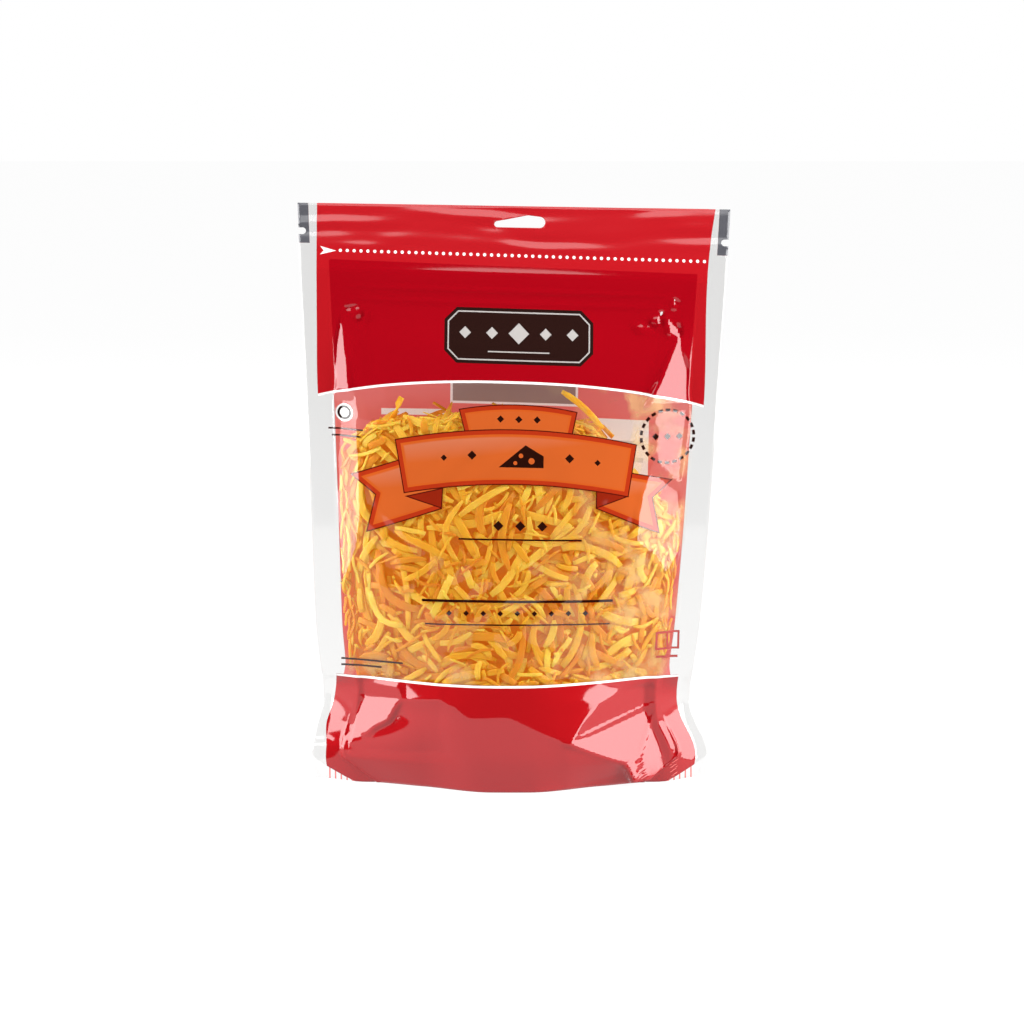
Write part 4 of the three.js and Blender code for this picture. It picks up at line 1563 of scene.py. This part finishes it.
# %% [markdown]
# ## Shred meshes
# For each kind the straight form is copied once per shred. A point's place along the form gives its
# station on the shred's line, and its other two coordinates go across and out of it. The ends are a
# little narrower than the middle, and each shred carries a tone of its own for its colour. As an object
# each, the shreds would be about a thousand pieces, so all copies of a kind are written into one mesh.

# %% Shred meshes
TAPER_POWER = 4  # the taper of a shred stays near its ends


def frames_along(line, facing):
    """Directions across and out of a line, for a film direction that it should lie flat to."""
    ahead = np.gradient(line, axis=0)
    ahead /= np.linalg.norm(ahead, axis=1, keepdims=True)
    across = np.cross(ahead, facing)
    across /= np.maximum(np.linalg.norm(across, axis=1, keepdims=True), 1e-6)
    return across, np.cross(across, ahead)


def bend_form(points, shred, line, facing):
    """The form's points, carried to one shred's line."""
    across, outward = frames_along(line, facing)
    station = (points[:, 0] + 1) / 2 * (len(line) - 1)
    at = np.arange(len(line))

    def along_line(values):
        return np.stack([np.interp(station, at, values[:, i]) for i in range(3)], axis=1)

    turn = shred["twist"] * points[:, 0]
    end = np.where(points[:, 0] < 0, shred["ends"][0], shred["ends"][1])
    taper = 1 - (1 - end) * np.abs(points[:, 0]) ** TAPER_POWER
    a = points[:, 1] * shred["wide"] / 2 * taper
    b = points[:, 2] * shred["thick"] / 2 * taper
    side = a * np.cos(turn) - b * np.sin(turn)
    up = a * np.sin(turn) + b * np.cos(turn)
    return along_line(line) + along_line(across) * side[:, None] + along_line(outward) * up[:, None]


def shred_piece(name, kind_name, shreds, material):
    """One mesh of all shreds of a kind."""
    points, faces = shred_form(SHRED_KINDS[kind_name]["parts"])
    placed, tones = [], []
    for shred in shreds:
        if "line" in shred:
            line = shred["line"]
            facing = np.tile(shred.get("facing", (0.0, 0.0, 1.0)), (len(line), 1))
        else:
            line, facing = front_line(shred)
        placed.append(bend_form(points, shred, line, facing))
        tones += [shred["tone"]] * len(points)
    placed = np.concatenate(placed) * MM
    all_faces = [[i + first * len(points) for i in face] for first in range(len(shreds)) for face in faces]
    mesh = bpy.data.meshes.new(name)
    mesh.from_pydata(placed.tolist(), [], all_faces)
    mesh.attributes.new("tone", "FLOAT", "POINT").data.foreach_set("value", tones)
    mesh.polygons.foreach_set("use_smooth", [True] * len(mesh.polygons))
    mesh.materials.append(material)
    made = bpy.data.objects.new(name, mesh)
    bpy.context.scene.collection.objects.link(made)
    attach(made, "root")
    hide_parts("pouch")
    print(name, len(shreds), "shreds,", sum(len(face) - 2 for face in faces) * len(shreds), "triangles")


print("kinds of shred:", list(SHRED_KINDS))

# %% [markdown]
# ## Cheese
# Cheddar is matt and a little see-through, so light that enters a shred comes out beside where it went
# in. Plain paint would send it back from the surface alone, so the finish scatters light below it. Each
# shred has its own tone between pale and deep orange, a fine grain, and a soft sheen.

# %% Cheese
CHEESE = [(0.0, srgb(200, 112, 12)), (0.5, srgb(217, 157, 28)), (1.0, srgb(235, 204, 84))]
# painted shade: the deeper orange of the gaps between the shreds, where the core shows
CREVICE_SHADE_ORANGE = srgb(204, 110, 14)
TONE_PARTS = {"shred": 0.75, "cloud": 0.35, "shift": 0.06}
CLOUD_SCALE = 140.0
GRAIN_SCALE = 900.0
GRAIN_BUMP = {"Strength": 0.25, "Distance": 0.0003}
SCATTER = {"share": 0.7, "colours": (1.0, 0.5, 0.16), "far": 2.6}


def cheese_finish(name, crevice_shade, glow):
    """crevice_shade: how far towards the deeper orange that is painted shade for the gaps between shreds.
    glow: light that has wandered through the heap.
    """
    material, wire = new_material(name)
    place_in_bag = wire.node("ShaderNodeTexCoord", output=3)
    tone = wire.node("ShaderNodeAttribute", {"attribute_name": "tone"}, output=2)
    cloud = wire.node("ShaderNodeTexNoise", inputs={
        "Vector": place_in_bag, "Scale": CLOUD_SCALE, "Detail": 3.0})
    grain = wire.node("ShaderNodeTexNoise", inputs={
        "Vector": place_in_bag, "Scale": GRAIN_SCALE, "Detail": 2.0})
    mixed = tone * TONE_PARTS["shred"] + cloud * TONE_PARTS["cloud"] - TONE_PARTS["shift"]
    colour = wire.node("ShaderNodeValToRGB", {"stops": CHEESE}, {0: mixed})
    # painted shade: pulled towards the orange of the shaded gaps between the shreds
    colour = colour.painted(CREVICE_SHADE_ORANGE, crevice_shade)
    bump = wire.node("ShaderNodeBump", inputs={"Height": grain, **GRAIN_BUMP})
    finish_material(wire, wire.node("ShaderNodeBsdfPrincipled", inputs={
        "Base Color": colour, "Roughness": 0.5, "Normal": bump, "IOR": 1.4,
        "Emission Color": colour, "Emission Strength": glow,
        "Subsurface Weight": SCATTER["share"], "Subsurface Radius": SCATTER["colours"],
        "Subsurface Scale": SCATTER["far"] * MM}))
    return material


cheese = cheese_finish("cheese_shred", crevice_shade=0.0, glow=0.2)
for kind_name in SHRED_KINDS:
    whole = laid_shreds[kind_name] + top_shreds.get(kind_name, [])
    shred_piece("shreds_" + kind_name, kind_name, whole, cheese)

# %% [markdown]
# ## Core of the heap
# Behind the shreds a closed, lumpy core fills the bag. It could be filled with real shreds, but nobody
# would see them. It starts as a flat grid, is pushed out into a slab, and its two faces are moved to lie
# inside the films, with a rounded rim between them. Its colour is pulled towards a deeper orange, painted
# shade for the gaps between the shreds where it shows, and it glows more than the shreds.

# %% Core of the heap
CORE = {
    "columns": 100, "rows": 90, "half": 72, "low": 12.0, "below_top": 4.0, "inset": 4.2,
    "behind_film": 0.5, "off_seam": 3, "lumps": 0.5, "lump_size": 1.7, "lump_turn": 0.3, "thinnest": 0.4,
}
CORE_RIM = {"at_sides": 14, "at_ends": 18, "power": 0.5}  # the larger, the narrower the rounded rim
SLAB = 0.01  # mm that is left of the core where the bag is flat


def make_core():
    """The core, from one film to the other."""
    bm = bmesh.new()
    bmesh.ops.create_grid(bm, x_segments=CORE["columns"], y_segments=CORE["rows"], size=0.5)
    pushed = bmesh.ops.extrude_face_region(bm, geom=bm.faces[:])
    back = {part for part in pushed["geom"] if isinstance(part, bmesh.types.BMVert)}
    bmesh.ops.translate(bm, vec=Vector((0, 0, -1)), verts=list(back))
    uv = np.array([v.co[:2] for v in bm.verts]) + 0.5
    side = np.array([1.0 if v in back else -1.0 for v in bm.verts])
    x = (uv[:, 0] * 2 - 1) * CORE["half"]
    top = heap_top(x) - CORE["below_top"]
    h = CORE["low"] + uv[:, 1] * (top - CORE["low"])
    x = x * (half_panel(h) - CORE["off_seam"]) / CORE["half"]
    from_side, from_end = np.minimum(uv, 1 - uv).T
    rim = np.minimum(from_side * CORE_RIM["at_sides"], from_end * CORE_RIM["at_ends"])
    film_at = np.where(side < 0, stand_out(FRONT, x, h), stand_out(BACK, x, h))
    room = film_at - CORE["inset"] + CORE["lumps"] * wave(x, h, CORE["lump_size"], CORE["lump_turn"])
    thick = np.maximum(CORE["thinnest"], room * np.minimum(1, rim) ** CORE_RIM["power"])
    thick = np.clip(thick, SLAB, np.maximum(SLAB, film_at - CORE["behind_film"]))
    points = place(x, h, side * thick)
    for v, point in zip(bm.verts, points):
        v.co = point
    bmesh.ops.recalc_face_normals(bm, faces=bm.faces)
    to_piece("cheese_core", bm, [cheese_finish("cheese_core_shade_and_glow", crevice_shade=0.7, glow=0.45)])


make_core()
